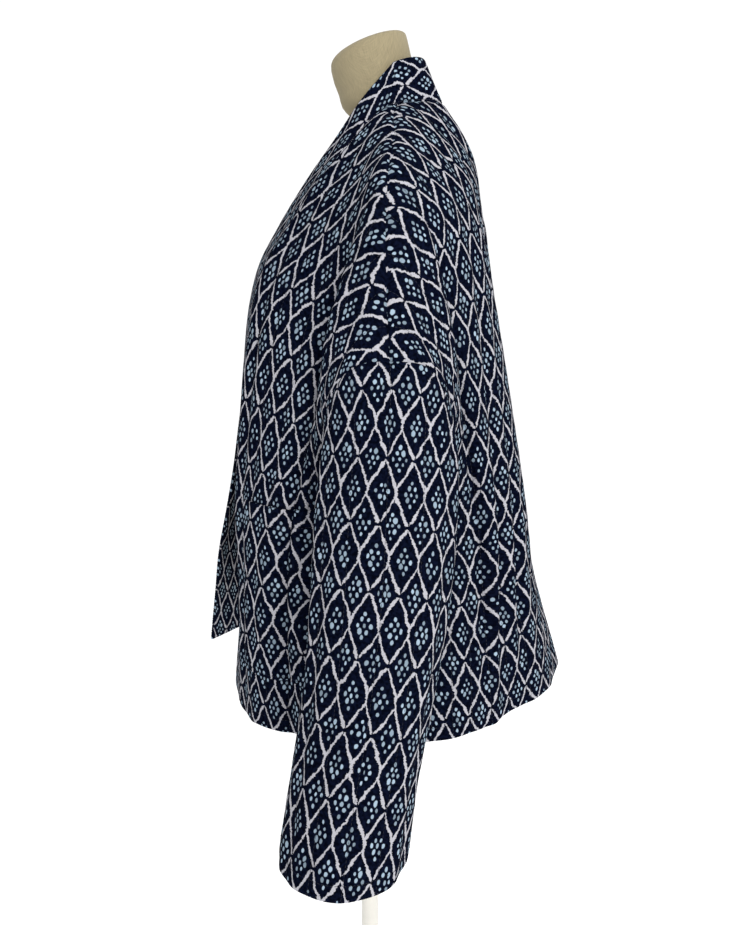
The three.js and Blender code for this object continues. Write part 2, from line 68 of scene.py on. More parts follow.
# Heights of the hem, the pocket and the hip, and places v down the cloth (0 at the shoulder, 1 at the hem)
HEM_Z = 648
POCKET_TOP_Z = 919
POCKET_BOTTOM_Z = 713
HIP_Z = 800
UNDERARM_V = 0.5
POCKET_TOP_V = 0.68
HIP_V = 0.84
HEM_V_PER_MM = (1 - HIP_V) / (HIP_Z - HEM_Z)  # of v, up from the hem
TOP_V_PER_MM = 0.0018  # of v, down from the shoulder seam
SLEEVE_T_PER_MM = 0.16 / 76  # of t, the place down a sleeve, up from the cuff
POCKET_BOTTOM_V = 1 - (POCKET_BOTTOM_Z - HEM_Z) * HEM_V_PER_MM

# Grid of the panels: columns across, in half channels of quilting, and rows down
YOKE_STEPS = 18  # half channels from the side of the neck to the armhole
NECK_STEPS = 4  # half channels from the centre back to the side of the neck
FINE = 4  # columns to a half channel
ARMHOLE_ROWS = 48
CHEST_ROWS = 30
POCKET_ROWS = 28
HEM_ROWS = 9
SLEEVE_ROWS = 65
SLEEVE_CHANNELS = 12
BAND_COLUMNS = 12
EDGE_ROWS = (0.4, 1.1, 2.2, 4.0)  # mm from an edge, where it rounds over or dips to a seam
MIRROR = (-1, 1, 1)

# Quilting, seams and stitches, in millimetres unless said otherwise
TOP_FLAT = 12  # from a seam, over which the quilting flattens
HEM_FLAT = 24  # the same from a hem
FLAT_POWER = 0.7
PUFF_POWER = 0.75  # how round a channel is
PUFF_VARIES = 0.22  # share
DITCH_REACH = 2.6  # half width of the dip at a seam
NORMALS_REACH = 14.0  # from a seam, over which the two pieces' normals turn to the same
BACK_TO_BACK = -0.4  # cosine between two pieces beyond which they are folded on each other
HEM_WAVE = {"rise": 1.1, "reach": 30, "scale": 0.013, "seed": 29}
HEM_STITCH = 16  # from the hem
BAND_WIDTH = 55  # about
BAND_WAVE = {"rise": 0.5, "reach": 12, "scale": 0.012, "seed": 11}
BAND_STITCHES = (0.05, 0.86)  # share of the neckband's width, from its fold
STITCH_PITCH = 1.32  # stitch lengths from one stitch to the next
STITCH_ARCH = ((0.0, -0.35), (0.3, 0.35), (0.7, 0.35), (1.0, -0.35))  # share along it, lift in threads
STITCH_CORNERS = (90, 210, 330)  # degrees
STITCH_RADIUS = 0.6  # in threads

# Pockets, in millimetres unless said otherwise
POCKET_COLUMNS = (3, 14)  # half channels from the neckband's seam
POCKET_SHIFT = (4, 9)  # how far the pocket's print misses the front's
POCKET_V_PER_MM = 0.0012  # of v, down from the mouth
POCKET_GAP = 0.35  # over the front
POCKET_BELLY = (0.5, 60, 30)  # how much further it stands off, this far from its floor and its sides
POCKET_STITCH = 4  # from a sewn edge
MOUTH_STITCH = 24  # from the mouth
PRESSED = ((0.9, 2.2), (0.5, 2.5))  # depth and half width of the dip at each of the two

# Armhole: an ellipse that leans, high on the outside and low under the arm
RING = {"x": 188, "y": 21, "z": 1027.5, "half_x": 38, "half_y": 68, "rise": 67.5, "square": 0.42}

# Threads of a panel: distance from the centre back in the cloth, and the top end
THREADS = {
    "centre": (0, (0, 90, 1391)),
    "neck": (65, (65, 35, 1379)),
    "blade": (145, (130, 26, 1333)),
    "valley": (210, (183, 19, 1289)),
    "lobe": (276, (207, 16, 1225)),
    "arm": (343, (219, 17, 1160)),
    "side": (413, (226, 20, 1095)),
}
NECK_S = THREADS["neck"][0]
SIDE_S = THREADS["side"][0]
VALLEY_S = THREADS["valley"][0]

# Courses of the cloth from the shoulder through the underarm to the hem: their place v, their height z or
# the share of the drop to the hem, and (x, y) or (x, y, z) at each thread
BACK = table(
    "v drop z centre neck blade valley lobe arm side",
    (0.16, 0.08, None, (0, 126), (66, 104), (130, 86), (174, 66), (201, 60), (214, 62)),
    (0.33, 0.18, None, (0, 139), (66, 133), (128, 113), (159, 84), (189, 88), (180, 94, 1045)),
    (UNDERARM_V, 0.305, None, (0, 155), (66, 150), (120, 134),
     (148, 103), (162, 101, 1015), (157, 78, 942), (150, 21)),
    (POCKET_TOP_V, None, POCKET_TOP_Z, (0, 204), (64, 198), (121, 171),
     (153, 133), (163, 100), (160, 61), (156, 18)),
    (HIP_V, None, HIP_Z, (0, 224), (62, 216), (118, 188), (159, 145), (178, 106), (184, 62), (182, 6)),
    (1, None, HEM_Z, (0, 268, 652), (60, 249, 652), (115, 208, 650),
     (163, 157), (192, 112), (208, 67), (217, -2)),
)
FRONT = table(
    "v drop z neck blade valley lobe arm side",
    (0.16, 0.08, None, (92, -34), (131, -22), (173, -14), (200, -22), (213, -24)),
    (0.33, 0.18, None, (82, -92), (124, -67), (158, -34), (189, -46), (180, -52, 1045)),
    (UNDERARM_V, 0.305, None, (76, -140), (118, -108),
     (149, -56), (162, -60, 1015), (157, -36, 942), (150, 21)),
    (POCKET_TOP_V, None, POCKET_TOP_Z, (79, -170), (126, -143),
     (163, -97), (167, -62), (161, -22), (156, 18)),
    (HIP_V, None, HIP_Z, (98, -166), (145, -146), (176, -108), (187, -73), (187, -34), (182, 6)),
    (1, None, HEM_Z, (112, -168), (160, -146), (187, -104), (204, -76), (213, -40), (217, -2)),
)
# The right front swings further forward below the chest
RIGHT_SWING = {
    POCKET_TOP_V: {"neck": (74, -180), "blade": (124, -152), "valley": (164, -101)},
    HIP_V: {"neck": (94, -200), "blade": (142, -168), "valley": (178, -120)},
    1: {"neck": (122, -210, 651), "blade": (166, -174, 650), "valley": (193, -120)},
}
# Free edge of the neckband at the same courses as its seam
BAND_EDGE = table(
    "v left right",
    (0, (53, 27, 1427), (-53, 27, 1427)),
    (0.08, (60, -12, 1383), (-60, -12, 1383)),
    (0.16, (50, -44, 1341), (-50, -44, 1341)),
    (0.33, (31, -113, 1244), (-31, -113, 1244)),
    (UNDERARM_V, (21, -153, 1152), (-20, -151, 1152)),
    (POCKET_TOP_V, (28, -173, POCKET_TOP_Z), (-19, -190, POCKET_TOP_Z)),
    (HIP_V, (45, -171, HIP_Z), (-40, -217, HIP_Z)),
    (1, (58, -181, 650), (-74, -240, 653)),
)
BAND_NAPE = (0, 66, 1440)

# Soft troughs: (s0, v0, s1, v1, width, depth) for the line from (s0, v0) to (s1, v1)
BACK_FOLDS = [
    (120, 0.10, 175, 0.95, 26, 7),
    (60, 0.55, 40, 1.00, 34, 5),
]
FRONT_FOLDS = [
    (150, 0.45, 120, 0.80, 24, 4),
    (245, 0.70, 235, 1.00, 22, 6),
]
FOLD_RISE = 1.2  # a trough reaches its full depth at 1 / 1.2 of its line
SIDE_FADE = 60  # mm from the side seam, over which the cloth comes into its troughs
TOP_FADE_V = 0.1  # the same from the shoulder seam
SLEEVE_FADE_T = 0.08  # the same from the armhole
CREASE_AT_HEM = 0.25  # share of a crease that is left at the hem; it fades from the hip down
# Sharper creases in the same columns; a negative depth is a ridge
BACK_CREASES = [
    (140, 0.36, 198, 0.97, 10, 8.5),
    (158, 0.38, 216, 0.99, 12, -4.5),
    (104, 0.42, 152, 0.93, 10, 7.0),
    (122, 0.44, 170, 0.95, 10, -3.5),
    (88, 0.20, 60, 0.62, 14, 2.5),
    (28, 0.50, 18, 0.96, 16, 3.0),
    (232, 0.56, 262, 0.90, 12, 3.0),
    (310, 0.62, 330, 0.98, 16, 3.0),
    (212, 0.12, 228, 0.56, 14, 10.0),
]
FRONT_CREASES = [
    (96, 0.30, 104, 0.66, 12, 2.5),
    (180, 0.50, 158, 0.99, 11, 3.0),
    (196, 0.52, 178, 0.99, 11, -1.8),
    (288, 0.60, 300, 0.97, 13, 3.0),
    (222, 0.28, 205, 0.60, 12, 2.0),
    (340, 0.66, 352, 0.98, 14, 2.5),
    (210, 0.12, 224, 0.54, 14, 9.0),
]
# The same for a sleeve: s is millimetres round from its outer line, towards the back on the left
# sleeve and towards the front on the right one, and v is t
SLEEVE_CREASES = [
    (-62, 0.02, -78, 0.52, 12, 3.0),
    (-40, 0.30, -50, 0.90, 14, 1.8),
    (58, 0.04, 84, 0.48, 12, 2.6),
    (104, 0.20, 96, 0.86, 15, 2.2),
    (-120, 0.25, -112, 0.80, 15, 2.5),
    (20, 0.55, 34, 0.98, 16, 1.5),
]

# Sections of the sleeve below the armhole, at the place t from there (0) to the cuff (1)
SLEEVE = table(
    "t x y z half_x half_y rise",
    (0.1, 202, 21, 985, 40, 74, 48),
    (0.22, 216, 18, 935, 44, 77, 30),
    (0.4, 243, 12, 852, 56, 76, 9),
    (0.62, 275, -1, 752, 60, 71, 0),
    (0.84, 300, -18, 655, 63, 68, 0),
    (1, 320, -29, 583, 66, 69, -2),
)

# Dress form: level sections, then the shoulders, then the neck that leans forward
FORM = table(
    "z half front back",
    (690, 146, -104, 108),
    (720, 156, -110, 116),
    (800, 158, -112, 122),
    (880, 140, -102, 108),
    (960, 120, -92, 90),
    (1020, 118, -96, 86),
    (1080, 130, -112, 92),
    (1130, 138, -118, 102),
    (1180, 142, -106, 108),
    (1230, 152, -78, 106),
)
SHOULDERS = table(
    "half front back round",
    (164, -16, 72, 1.7),
    (145, -14, 70, 1.6),
    (118, -14, 70, 1.5),
    (90, -12, 68, 1.35),
    (65, -20, 66, 1.3),
)
NECK = table(
    "z half front back lean",
    (1392, 48, -34, 62, 6),
    (1412, 46, -38, 55, 14),
    (1440, 46, -46, 47, 20),
)
CAP = {"z": 1450, "y": -1.5, "half": 46, "lean": 19, "edge": 9, "flat": 1.6, "dome": 1.5}
CAP_TURNS = (0, 25, 50, 75)  # degrees round the cap's edge
FORM_SEAT = 0.9  # mm between the form and the cloth
FORM_SIDES = 96
FORM_ROW_MM = 9
END_RINGS = np.linspace(1, 0.04, 6)[1:]  # sizes of the rings that close the form's ends
SEAM_TURNS = (0, 60, 90, 120, 180, 240, 270, 300)  # degrees round the form
SEAM_TOP_Z = 1180
SEAM_RADIUS = 0.55

POLE_SIDES = 40
BASE_SIDES = 96
SOCKET = 34  # mm down from the pole's top
FOOT = 26  # mm up from the base
FOOT_SHARE = 1.15  # of the upper socket's radius
RING_TOP = 33  # mm up from the base
RING_WIDER = 2.2  # mm than the pole
BASE_CROWN = 3.5  # mm that the base rises towards its middle
SCREW_SIDES = 20
SCREW = [(3, 0), (3, 12), (8, 13), (9.5, 15), (9.5, 20), (8, 22), (2, 22.6)]  # radius, place along it
SCREW_DROP = 18  # mm below the pole's top
SCREW_SUNK = 3  # mm that the screw reaches into the socket

# Print: degrees that it leans, anticlockwise as seen from outside, and how far it is moved, in mm
PRINT_LEAN = {"front_left": -4, "front_right": 4, "sleeve_left": -4, "sleeve_right": 4}
PRINT_SHIFT = {"sleeve_left": (-3.6, -27.4), "front_left": (-20.5, -20.3), "back": (1.5, -53)}
CHART_NODES = (34, 40)  # rows and columns of the coarse net on which the print is laid out
# Half width of a stroke of the lattice as a share of STROKE_MM, from the stem above it, past
# the crossing in the middle, to the stem below
STROKE_MM = 2.25
FALLING_STROKE = [(0, 0.34), (0.08, 0.48), (0.24, 0.44), (0.4, 0.76), (0.465, 0.68), (0.487, 0.0),
                  (0.513, 0.0), (0.53, 0.30), (0.62, 0.42), (0.72, 0.58), (0.93, 0.62), (1, 0.34)]
RISING_STROKE = [(0, 0.34), (0.08, 0.40), (0.2, 0.34), (0.31, 0.62), (0.42, 0.46), (0.487, 0.0),
                 (0.513, 0.0), (0.53, 0.46), (0.62, 0.66), (0.72, 0.50), (0.93, 0.62), (1, 0.34)]
THINNEST_MM = 0.12  # a stroke thinner than this doesn't print
STEM_MM = 4.5  # half the length of the stem where two strokes run together
RAGGED_MM = 3.0  # how much the edge of a stroke wanders
SLOW_DRIFT = (0.09, 4.5)  # how fast and how far, in mm, the whole print drifts off its lattice
QUICK_DRIFT = (0.55, 2.2)  # the same for single strokes
DOT_PITCH = (3.1, 6.0)  # mm across and down between neighbouring dots
DOT_JITTER = (1.3, 1.5)  # mm that a dot misses its place, at most, in all
DOT_SIZE = (1.38, 2.15)  # mm, half width and half height of a dot
DOT_GROWTH = (0.83, 0.34)  # size of the smallest dot, and what the largest has more
DOT_RAGGED = 0.22
BIG_DOT = 1.42
MISSING_DOTS = 0.03  # share of dots that didn't print
LINE_SOFTNESS = 0.2  # mm
DOT_SOFTNESS = 0.12  # of a dot
CHANNEL_MM = 38.0  # a channel's width for the puckers beside its stitches
COTTON_SPECULAR = 0.006

# The photograph's camera, found from the hem's, cuff's and neck's outlines
CAMERA_DISTANCE = 1.082
CAMERA_HEIGHT = 1.170
CAMERA_TILT = 12.0
CAMERA_LENS = 32.0
CAMERA_SENSOR = 36
BACKDROP_EDGE = (0.45, 0.72)  # how far towards -X a direction looks where the lit wall begins and is full
SKIRT_EDGE = (0.0, 0.34)  # how far up a direction looks where the walls are fully lit and no longer
# Soft lights: place and size in metres, share of the key light's power, colour
LIGHT_AIM = (0, 0, 1.0)
LIGHTS = {
    "key": ((2.35, 0.95, 2.4), 1.2, 1, (1.0, 0.98, 0.95)),
    "top": ((0.2, 0.3, 3.2), 1.8, 0.25, (1, 1, 1)),
}


# Settings a user would change

def length_setting(name, description, default, low, high, precision=4):
    """A setting in metres"""
    return FloatProperty(name=name, description=description, default=default, min=low, max=high,
                         unit="LENGTH", precision=precision)


def colour_setting(name, description, default):
    """A setting with a colour"""
    return FloatVectorProperty(name=name, description=description, subtype="COLOR", size=3,
                               default=default, min=0, max=1)


def light_setting(name, description, default, high, unit="NONE"):
    """A setting for the strength of a light"""
    return FloatProperty(name=name, description=description, default=default, min=0, max=high, unit=unit)


class ClothSettings(bpy.types.PropertyGroup):
    """Sizes of the quilted cloth"""
    wall: length_setting("Wall", "Thickness of the cloth at a line of stitches", 0.0032, 0.001, 0.01)
    puff: length_setting("Puff", "How far a channel stands proud between two lines", 0.0017, 0.0, 0.01)
    band_wall: length_setting("Neckband wall", "Thickness of the folded neckband", 0.0044, 0.001, 0.01)
    pocket_wall: length_setting("Pocket wall", "Thickness of a pocket", 0.003, 0.001, 0.01)
    ditch: length_setting("Seam ditch", "How deep the cloth dips at a seam", 0.0011, 0.0, 0.003)
    stitch: length_setting("Stitch", "Length of one stitch", 0.0034, 0.001, 0.01)
    thread: length_setting("Thread", "Thickness of the sewing thread", 0.0005, 0.0001, 0.002)


class PrintSettings(bpy.types.PropertyGroup):
    """Sizes and colours of the block print"""
    ground: colour_setting("Ground", "Colour of the dyed cloth", (0.0024, 0.0039, 0.0128))
    line: colour_setting("Lines", "Colour of the lattice", (0.485, 0.485, 0.535))
    dot: colour_setting("Dots", "Colour of the dots", (0.300, 0.395, 0.490))
    diamond_width: length_setting("Diamond width", "Width of one diamond", 0.030, 0.005, 0.2, 3)
    diamond_height: length_setting("Diamond height", "Height of one diamond", 0.069, 0.005, 0.3, 3)


class FormSettings(bpy.types.PropertyGroup):
    """Sizes and colours of the dress form and its stand"""
    linen: colour_setting("Linen", "Colour of the cover", (0.310, 0.264, 0.163))
    iron: colour_setting("Stand", "Colour of the painted stand", (0.76, 0.745, 0.69))
    collar: length_setting("Collar", "Radius of the socket under the form", 0.024, 0.013, 0.1, 3)


class StageSettings(bpy.types.PropertyGroup):
    """Light and floor of the studio"""
    floor: colour_setting("Floor", "Colour of the floor", (0.9, 0.9, 0.9))
    glow: light_setting("Floor glow", "Light that the lit floor gives off itself", 0.6, 2)
    key_power: light_setting("Key light", "Power of the main soft light", 53.0, 2000, "POWER")
    room: light_setting("Room", "Strength of the light from all round", 0.38, 10)
    backdrop: light_setting("Backdrop", "Strength of the lit wall behind the jacket", 1.05, 10)
    width: IntProperty(name="Floor width", description="Width of the floor, in metres",
                       default=60, min=2, max=200)


# Smooth curves and surfaces

def smooth_weights(knots, at):
    """Rows of weights that turn values at the knots into a smooth curve's values"""
    knots = np.asarray(knots, float)
    at = np.atleast_1d(np.asarray(at, float))
    count = len(knots)
    gaps = np.diff(knots)
    chords = np.zeros((count - 1, count))
    index = np.arange(count - 1)
    chords[index, index] = -1 / gaps
    chords[index, index + 1] = 1 / gaps
    slopes = np.zeros((count, count))
    slopes[0] = chords[0]
    slopes[-1] = chords[-1]
    for k in range(1, count - 1):
        slopes[k] = (chords[k - 1] * gaps[k] + chords[k] * gaps[k - 1]) / (gaps[k] + gaps[k - 1])
    k = np.clip(np.searchsorted(knots, at, side="left") - 1, 0, count - 2)
    span = gaps[k]
    t = (at - knots[k]) / span
    weights = np.zeros((len(at), count))
    rows = np.arange(len(at))
    weights[rows, k] = 2 * t ** 3 - 3 * t ** 2 + 1
    weights[rows, k + 1] = 3 * t ** 2 - 2 * t ** 3
    weights += (span * (t ** 3 - 2 * t ** 2 + t))[:, None] * slopes[k]
    weights += (span * (t ** 3 - t ** 2))[:, None] * slopes[k + 1]
    return weights


def ring_points(angles):
    """The armhole's ring, squarer towards its outer side"""
    cos, sin = np.cos(angles), np.sin(angles)
    power = 1 - RING["square"] * np.maximum(0, cos)
    return np.stack([
        RING["x"] + RING["half_x"] * cos,
        RING["y"] + RING["half_y"] * np.sign(sin) * np.abs(sin) ** power,
        RING["z"] + RING["rise"] * cos,
    ], axis=-1)

def course_point(course, name, swing):
    """Where the named thread crosses a course"""
    if name not in course:  # beyond the neckband's seam the cloth would run straight on
        near, far = (course_point(course, other, swing) for other in ("neck", "blade"))
        return 1.8 * near - 0.8 * far
    place = swing.get(course["v"], {}).get(name, course[name])
    if len(place) == 3:
        return np.array(place, float)
    top = THREADS[name][1][2]
    level = course["z"] if "z" in course else top + (HEM_Z - top) * course["drop"]
    return np.array((*place, level), float)


def panel_surface(courses, facing, over, s, v, swing=None):
    """The wearer's left panel as a grid of points: rows down the cloth, columns across it"""
    swing = swing or {}
    across = [place for place, _ in THREADS.values()]
    down = [-over["v"], 0] + [course["v"] for course in courses]
    lines = []
    for name, (_, top) in THREADS.items():
        if name == "side":  # round the armhole, then down the side seam
            held = [course for course in courses if name in course]
            below = np.array([course_point(course, name, swing) for course in held])
            low = smooth_weights([course["v"] for course in held], np.maximum(v, UNDERARM_V)) @ below
            ring = ring_points(facing * v * 2 * math.pi)
            lines.append(np.where((v < UNDERARM_V)[:, None], ring, low))
            continue
        below = [course_point(course, name, swing) for course in courses]
        crosses = name in over and name in courses[0]
        before = course_point(over, name, swing) if crosses else 2 * np.array(top, float) - below[0]
        lines.append(smooth_weights(down, v) @ np.array([before, top, *below]))
    if facing > 0:
        across = [-NECK_S] + across
        lines = [lines[1] * MIRROR] + lines
    return np.einsum("st,tvc->vsc", smooth_weights(across, s), np.array(lines))


def unit(vectors):
    """The vectors at length one"""
    return vectors / np.maximum(np.linalg.norm(vectors, axis=-1, keepdims=True), 1e-9)


def closed(grid):
    """A ring's grid with its first column again at the end"""
    return np.concatenate([grid, grid[:, :1]], axis=1)


def grid_normals(grid, wrap=False):
    """Unit normals of a grid, from its two directions"""
    right = np.roll(grid, -1, axis=1) - np.roll(grid, 1, axis=1) if wrap else np.gradient(grid, axis=1)
    return unit(np.cross(np.gradient(grid, axis=0), right))


def fold_depth(folds, s, v):
    """How far the troughs take the cloth in, for every row v and column s"""
    total = np.zeros((len(v), len(s)))
    for s0, v0, s1, v1, width, depth in folds:
        along = np.clip((v - v0) / (v1 - v0), 0, 1)
        middle = s0 + (s1 - s0) * along
        off = (s[None, :] - middle[:, None]) / width
        rise = np.sin(np.pi * np.minimum(along * FOLD_RISE, 1) * 0.5) * (v > v0)
        total += depth * rise[:, None] * np.exp(-off ** 2)
    return total


def folded(grid, s, v, folds, creases):
    """The grid with its troughs and creases, which fade towards the seams, side and top"""
    normals = grid_normals(grid)
    outward = np.sign((normals[..., 1] * grid[..., 1]).sum())
    edge = np.minimum(np.minimum(1, (SIDE_S - s) / SIDE_FADE)[None, :], (v / TOP_FADE_V)[:, None])
    near_hem = np.clip((v - HIP_V) / (1 - HIP_V), 0, 1)
    kept = (1 + CREASE_AT_HEM) / 2 + (1 - CREASE_AT_HEM) / 2 * np.cos(np.pi * near_hem)
    depth = fold_depth(folds, s, v) + fold_depth(creases, s, v) * kept[:, None]
    return grid - normals * (depth * edge * outward)[..., None]


def with_edges(values, low_step, high_step):
    """The values with extra ones close to both ends, where an edge rounds over"""
    start, end = values[0], values[-1]
    extra = [start + d * low_step for d in EDGE_ROWS] + [end - d * high_step for d in EDGE_ROWS]
    return np.array(sorted(set(np.round(np.concatenate([values, extra]), 9))))


def spaced(knots, counts):
    """Values from the first knot to the last, with so many even steps between each two"""
    steps = [np.linspace(a, b, n + 1)[1:] for a, b, n in zip(knots, knots[1:], counts)]
    return np.concatenate([knots[:1], *steps])


@functools.cache
def row_values():
    """v of every row of a panel"""
    knots = [0, UNDERARM_V, POCKET_TOP_V, POCKET_BOTTOM_V, 1]
    counts = [ARMHOLE_ROWS, CHEST_ROWS, POCKET_ROWS, HEM_ROWS]
    return with_edges(spaced(knots, counts), TOP_V_PER_MM, HEM_V_PER_MM)


def armhole_values():
    """v of the rows from the shoulder seam to the underarm"""
    return row_values()[row_values() < UNDERARM_V + 1e-6]


@functools.cache
def column_values():
    """s of every column from the neck to the armhole, and from the centre back to the armhole"""
    yoke = with_edges(np.linspace(NECK_S, SIDE_S, YOKE_STEPS * FINE + 1), 1, 1)
    return yoke, np.concatenate([np.linspace(0, NECK_S, NECK_STEPS * FINE + 1), yoke[1:]])


def channel_of(s):
    """Which channel of quilting a column lies in: whole numbers are the lines of stitches"""
    yoke = (s - NECK_S) / (SIDE_S - NECK_S) * YOKE_STEPS / 2
    neck = s / NECK_S * NECK_STEPS / 2
    return np.where(s < NECK_S, neck, yoke)


def eased(normals, seam, distance):
    """Normals that turn towards the seam's own over the last few millimetres"""
    near = np.clip(1 - distance / NORMALS_REACH, 0, 1)[..., None]
    near = near * near * (3 - 2 * near)
    return unit(normals * (1 - near) + seam * near)


def seam_normals(a, b):
    """The normals that two seam edges share, unless they are folded back to back"""
    together = (a * b).sum(-1, keepdims=True) >= BACK_TO_BACK
    mean = unit(a + b)
    return np.where(together, mean, a), np.where(together, mean, b)


def ring_of(behind, ahead):
    """An armhole's ring from its two edges, both from the shoulder seam to the underarm"""
    return np.concatenate([behind, ahead[-2:0:-1]])


def ring_order(grid):
    """The columns of a closed ring the other way round, from the same first one"""
    return np.roll(grid[:, ::-1], 1, axis=1)


@functools.cache
def cloth():
    """Every panel as a grid of points with its normals, in millimetres"""
    v = row_values()
    yoke, half = column_values()
    hung = folded(panel_surface(BACK, 1, FRONT[0], half, v), half, v, BACK_FOLDS, BACK_CREASES)
    back = np.concatenate([hung[:, ::-1], (hung * MIRROR)[:, 1:]], axis=1)
    left, right = (folded(panel_surface(FRONT, -1, BACK[0], yoke, v, swing), yoke, v,
                          FRONT_FOLDS, FRONT_CREASES) for swing in (None, RIGHT_SWING))
    right = (right * MIRROR)[:, ::-1]
    count = len(armhole_values())
    grids = {
        "back": back,
        "front_left": left,
        "front_right": right,
        "neckband": band_grid(back, left, right, len(yoke)),
        "sleeve_left": sleeve_grid(back[:count, 0], left[:count, -1], 1),
        "sleeve_right": ring_order(sleeve_grid(back[:count, -1], right[:count, 0], -1)),
    }
    normals = {name: grid_normals(grid, "sleeve" in name) for name, grid in grids.items()}
    share_seams(normals)
    t = sleeve_values()
    for name in ("sleeve_left", "sleeve_right"):  # from the underarm round to the underarm
        grid, up = (np.roll(store[name], count - 1, axis=1) for store in (grids, normals))
        around = arc_lengths(grid, 1, count - 1)[0]
        depth = fold_depth(SLEEVE_CREASES, around, t) * np.clip(t / SLEEVE_FADE_T, 0, 1)[:, None]
        grids[name] = grid - up * depth[..., None]
        normals[name] = eased(grid_normals(grids[name], True), up[:1], (t / SLEEVE_T_PER_MM)[:, None])
    return {name: (grids[name], normals[name]) for name in grids}


def band_grid(back, left, right, columns):
    """The neckband: columns from the left hem round the neck to the right hem, rows from its
    free edge to its seam"""
    weights = smooth_weights([course["v"] for course in BAND_EDGE], row_values())
    free_left, free_right = (weights @ np.array([course[side] for course in BAND_EDGE], float)
                             for side in ("left", "right"))
    neck_seam = back[0, columns:-columns]
    angle = np.pi * np.arange(1, len(neck_seam) + 1) / (len(neck_seam) + 1)
    x, y, z = BAND_EDGE[0]["left"]
    neck_free = np.stack([
        x * np.cos(angle),
        y + (BAND_NAPE[1] - y) * np.sin(angle),
        z + (BAND_NAPE[2] - z) * np.sin(angle),
    ], axis=-1)
    seam = np.concatenate([left[::-1, 0], neck_seam, right[:, -1]])
    free = np.concatenate([free_left[::-1], neck_free, free_right])
    wide = with_edges(np.linspace(0, 1, BAND_COLUMNS + 1), 1 / BAND_WIDTH, 1 / BAND_WIDTH)[:, None, None]
    return free[None] * (1 - wide) + seam[None] * wide


def sleeve_values():
    """t of every row of a sleeve"""
    return with_edges(np.linspace(0, 1, SLEEVE_ROWS + 1), SLEEVE_T_PER_MM, SLEEVE_T_PER_MM)


def sleeve_grid(behind, ahead, sign):
    """A sleeve from its armhole's two edges: columns round it from the shoulder seam by the back,
    rows down to the cuff; the sign is 1 on the wearer's left"""
    v = armhole_values()
    turn = 2 * np.pi * ring_of(v, 1 - v)
    lines = [ring_of(behind, ahead)] + [
        np.stack([
            sign * (c["x"] + c["half_x"] * np.cos(turn)),
            c["y"] + c["half_y"] * np.sin(turn),
            c["z"] + c["rise"] * np.cos(turn),
        ], axis=-1) for c in SLEEVE]
    weights = smooth_weights([0] + [c["t"] for c in SLEEVE], sleeve_values())
    return np.einsum("vt,tkc->vkc", weights, np.array(lines))


def sew(a, from_a, b, from_b):
    """Turns the normals of two neighbours towards one another: their first rows are the seam, and
    the other rows are so many millimetres from it"""
    for part, seam, distance in zip((a, b), seam_normals(a[0], b[0]), (from_a, from_b)):
        part[:] = eased(part, seam[None], distance[:, None])


def share_seams(normals):
    """Turns the normals of neighbours towards one another at every seam"""
    v = row_values()
    yoke, _ = column_values()
    count = len(armhole_values())
    back, left, right, band = (normals[name] for name in ("back", "front_left", "front_right", "neckband"))
    columns, rows = len(yoke), len(v)
    from_top, from_side, from_neck = v / TOP_V_PER_MM, (SIDE_S - yoke)[::-1], yoke - NECK_S
    from_band = np.linspace(0, BAND_WIDTH, len(band))
    halves = ((back[:, :columns], left[:, ::-1]), (back[:, ::-1][:, :columns], right))  # from the side
    for behind, ahead in halves:  # shoulder seams
        sew(behind, from_top, ahead, from_top)
    for behind, ahead in halves:  # side seams below the underarm
        sew(behind[count - 1:].swapaxes(0, 1), from_side, ahead[count - 1:].swapaxes(0, 1), from_side)
    sew(left[::-1].swapaxes(0, 1), from_neck, band[::-1, :rows], from_band)
    sew(right[:, ::-1].swapaxes(0, 1), from_neck, band[::-1, -rows:], from_band)
    sew(back[:, columns:-columns], from_top, band[::-1, rows:-rows], from_band)
    along = sleeve_values() / SLEEVE_T_PER_MM
    for side, (behind, ahead) in zip(("left", "right"), halves):  # armholes
        sleeve = normals["sleeve_" + side]
        ordered = ring_order if side == "right" else np.array
        a, b = seam_normals(ordered(sleeve[:1])[0], ring_of(behind[:count, 0], ahead[:count, 0]))
        sleeve[:] = eased(sleeve, ordered(a[None]), along[:, None])
        front_b = np.concatenate([b[:1], b[:count - 2:-1]])
        for part, seam in ((behind[:count], b[:count]), (ahead[:count], front_b)):
            part[:] = eased(part, seam[:, None], from_side[None])


def arc_lengths(grid, axis, anchor=0):
    """Length along the grid's rows or columns, counted from the anchor"""
    steps = np.linalg.norm(np.diff(grid, axis=axis), axis=-1)
    total = np.insert(np.cumsum(steps, axis=axis), 0, 0, axis=axis)
    return total - np.take(total, [anchor], axis=axis)


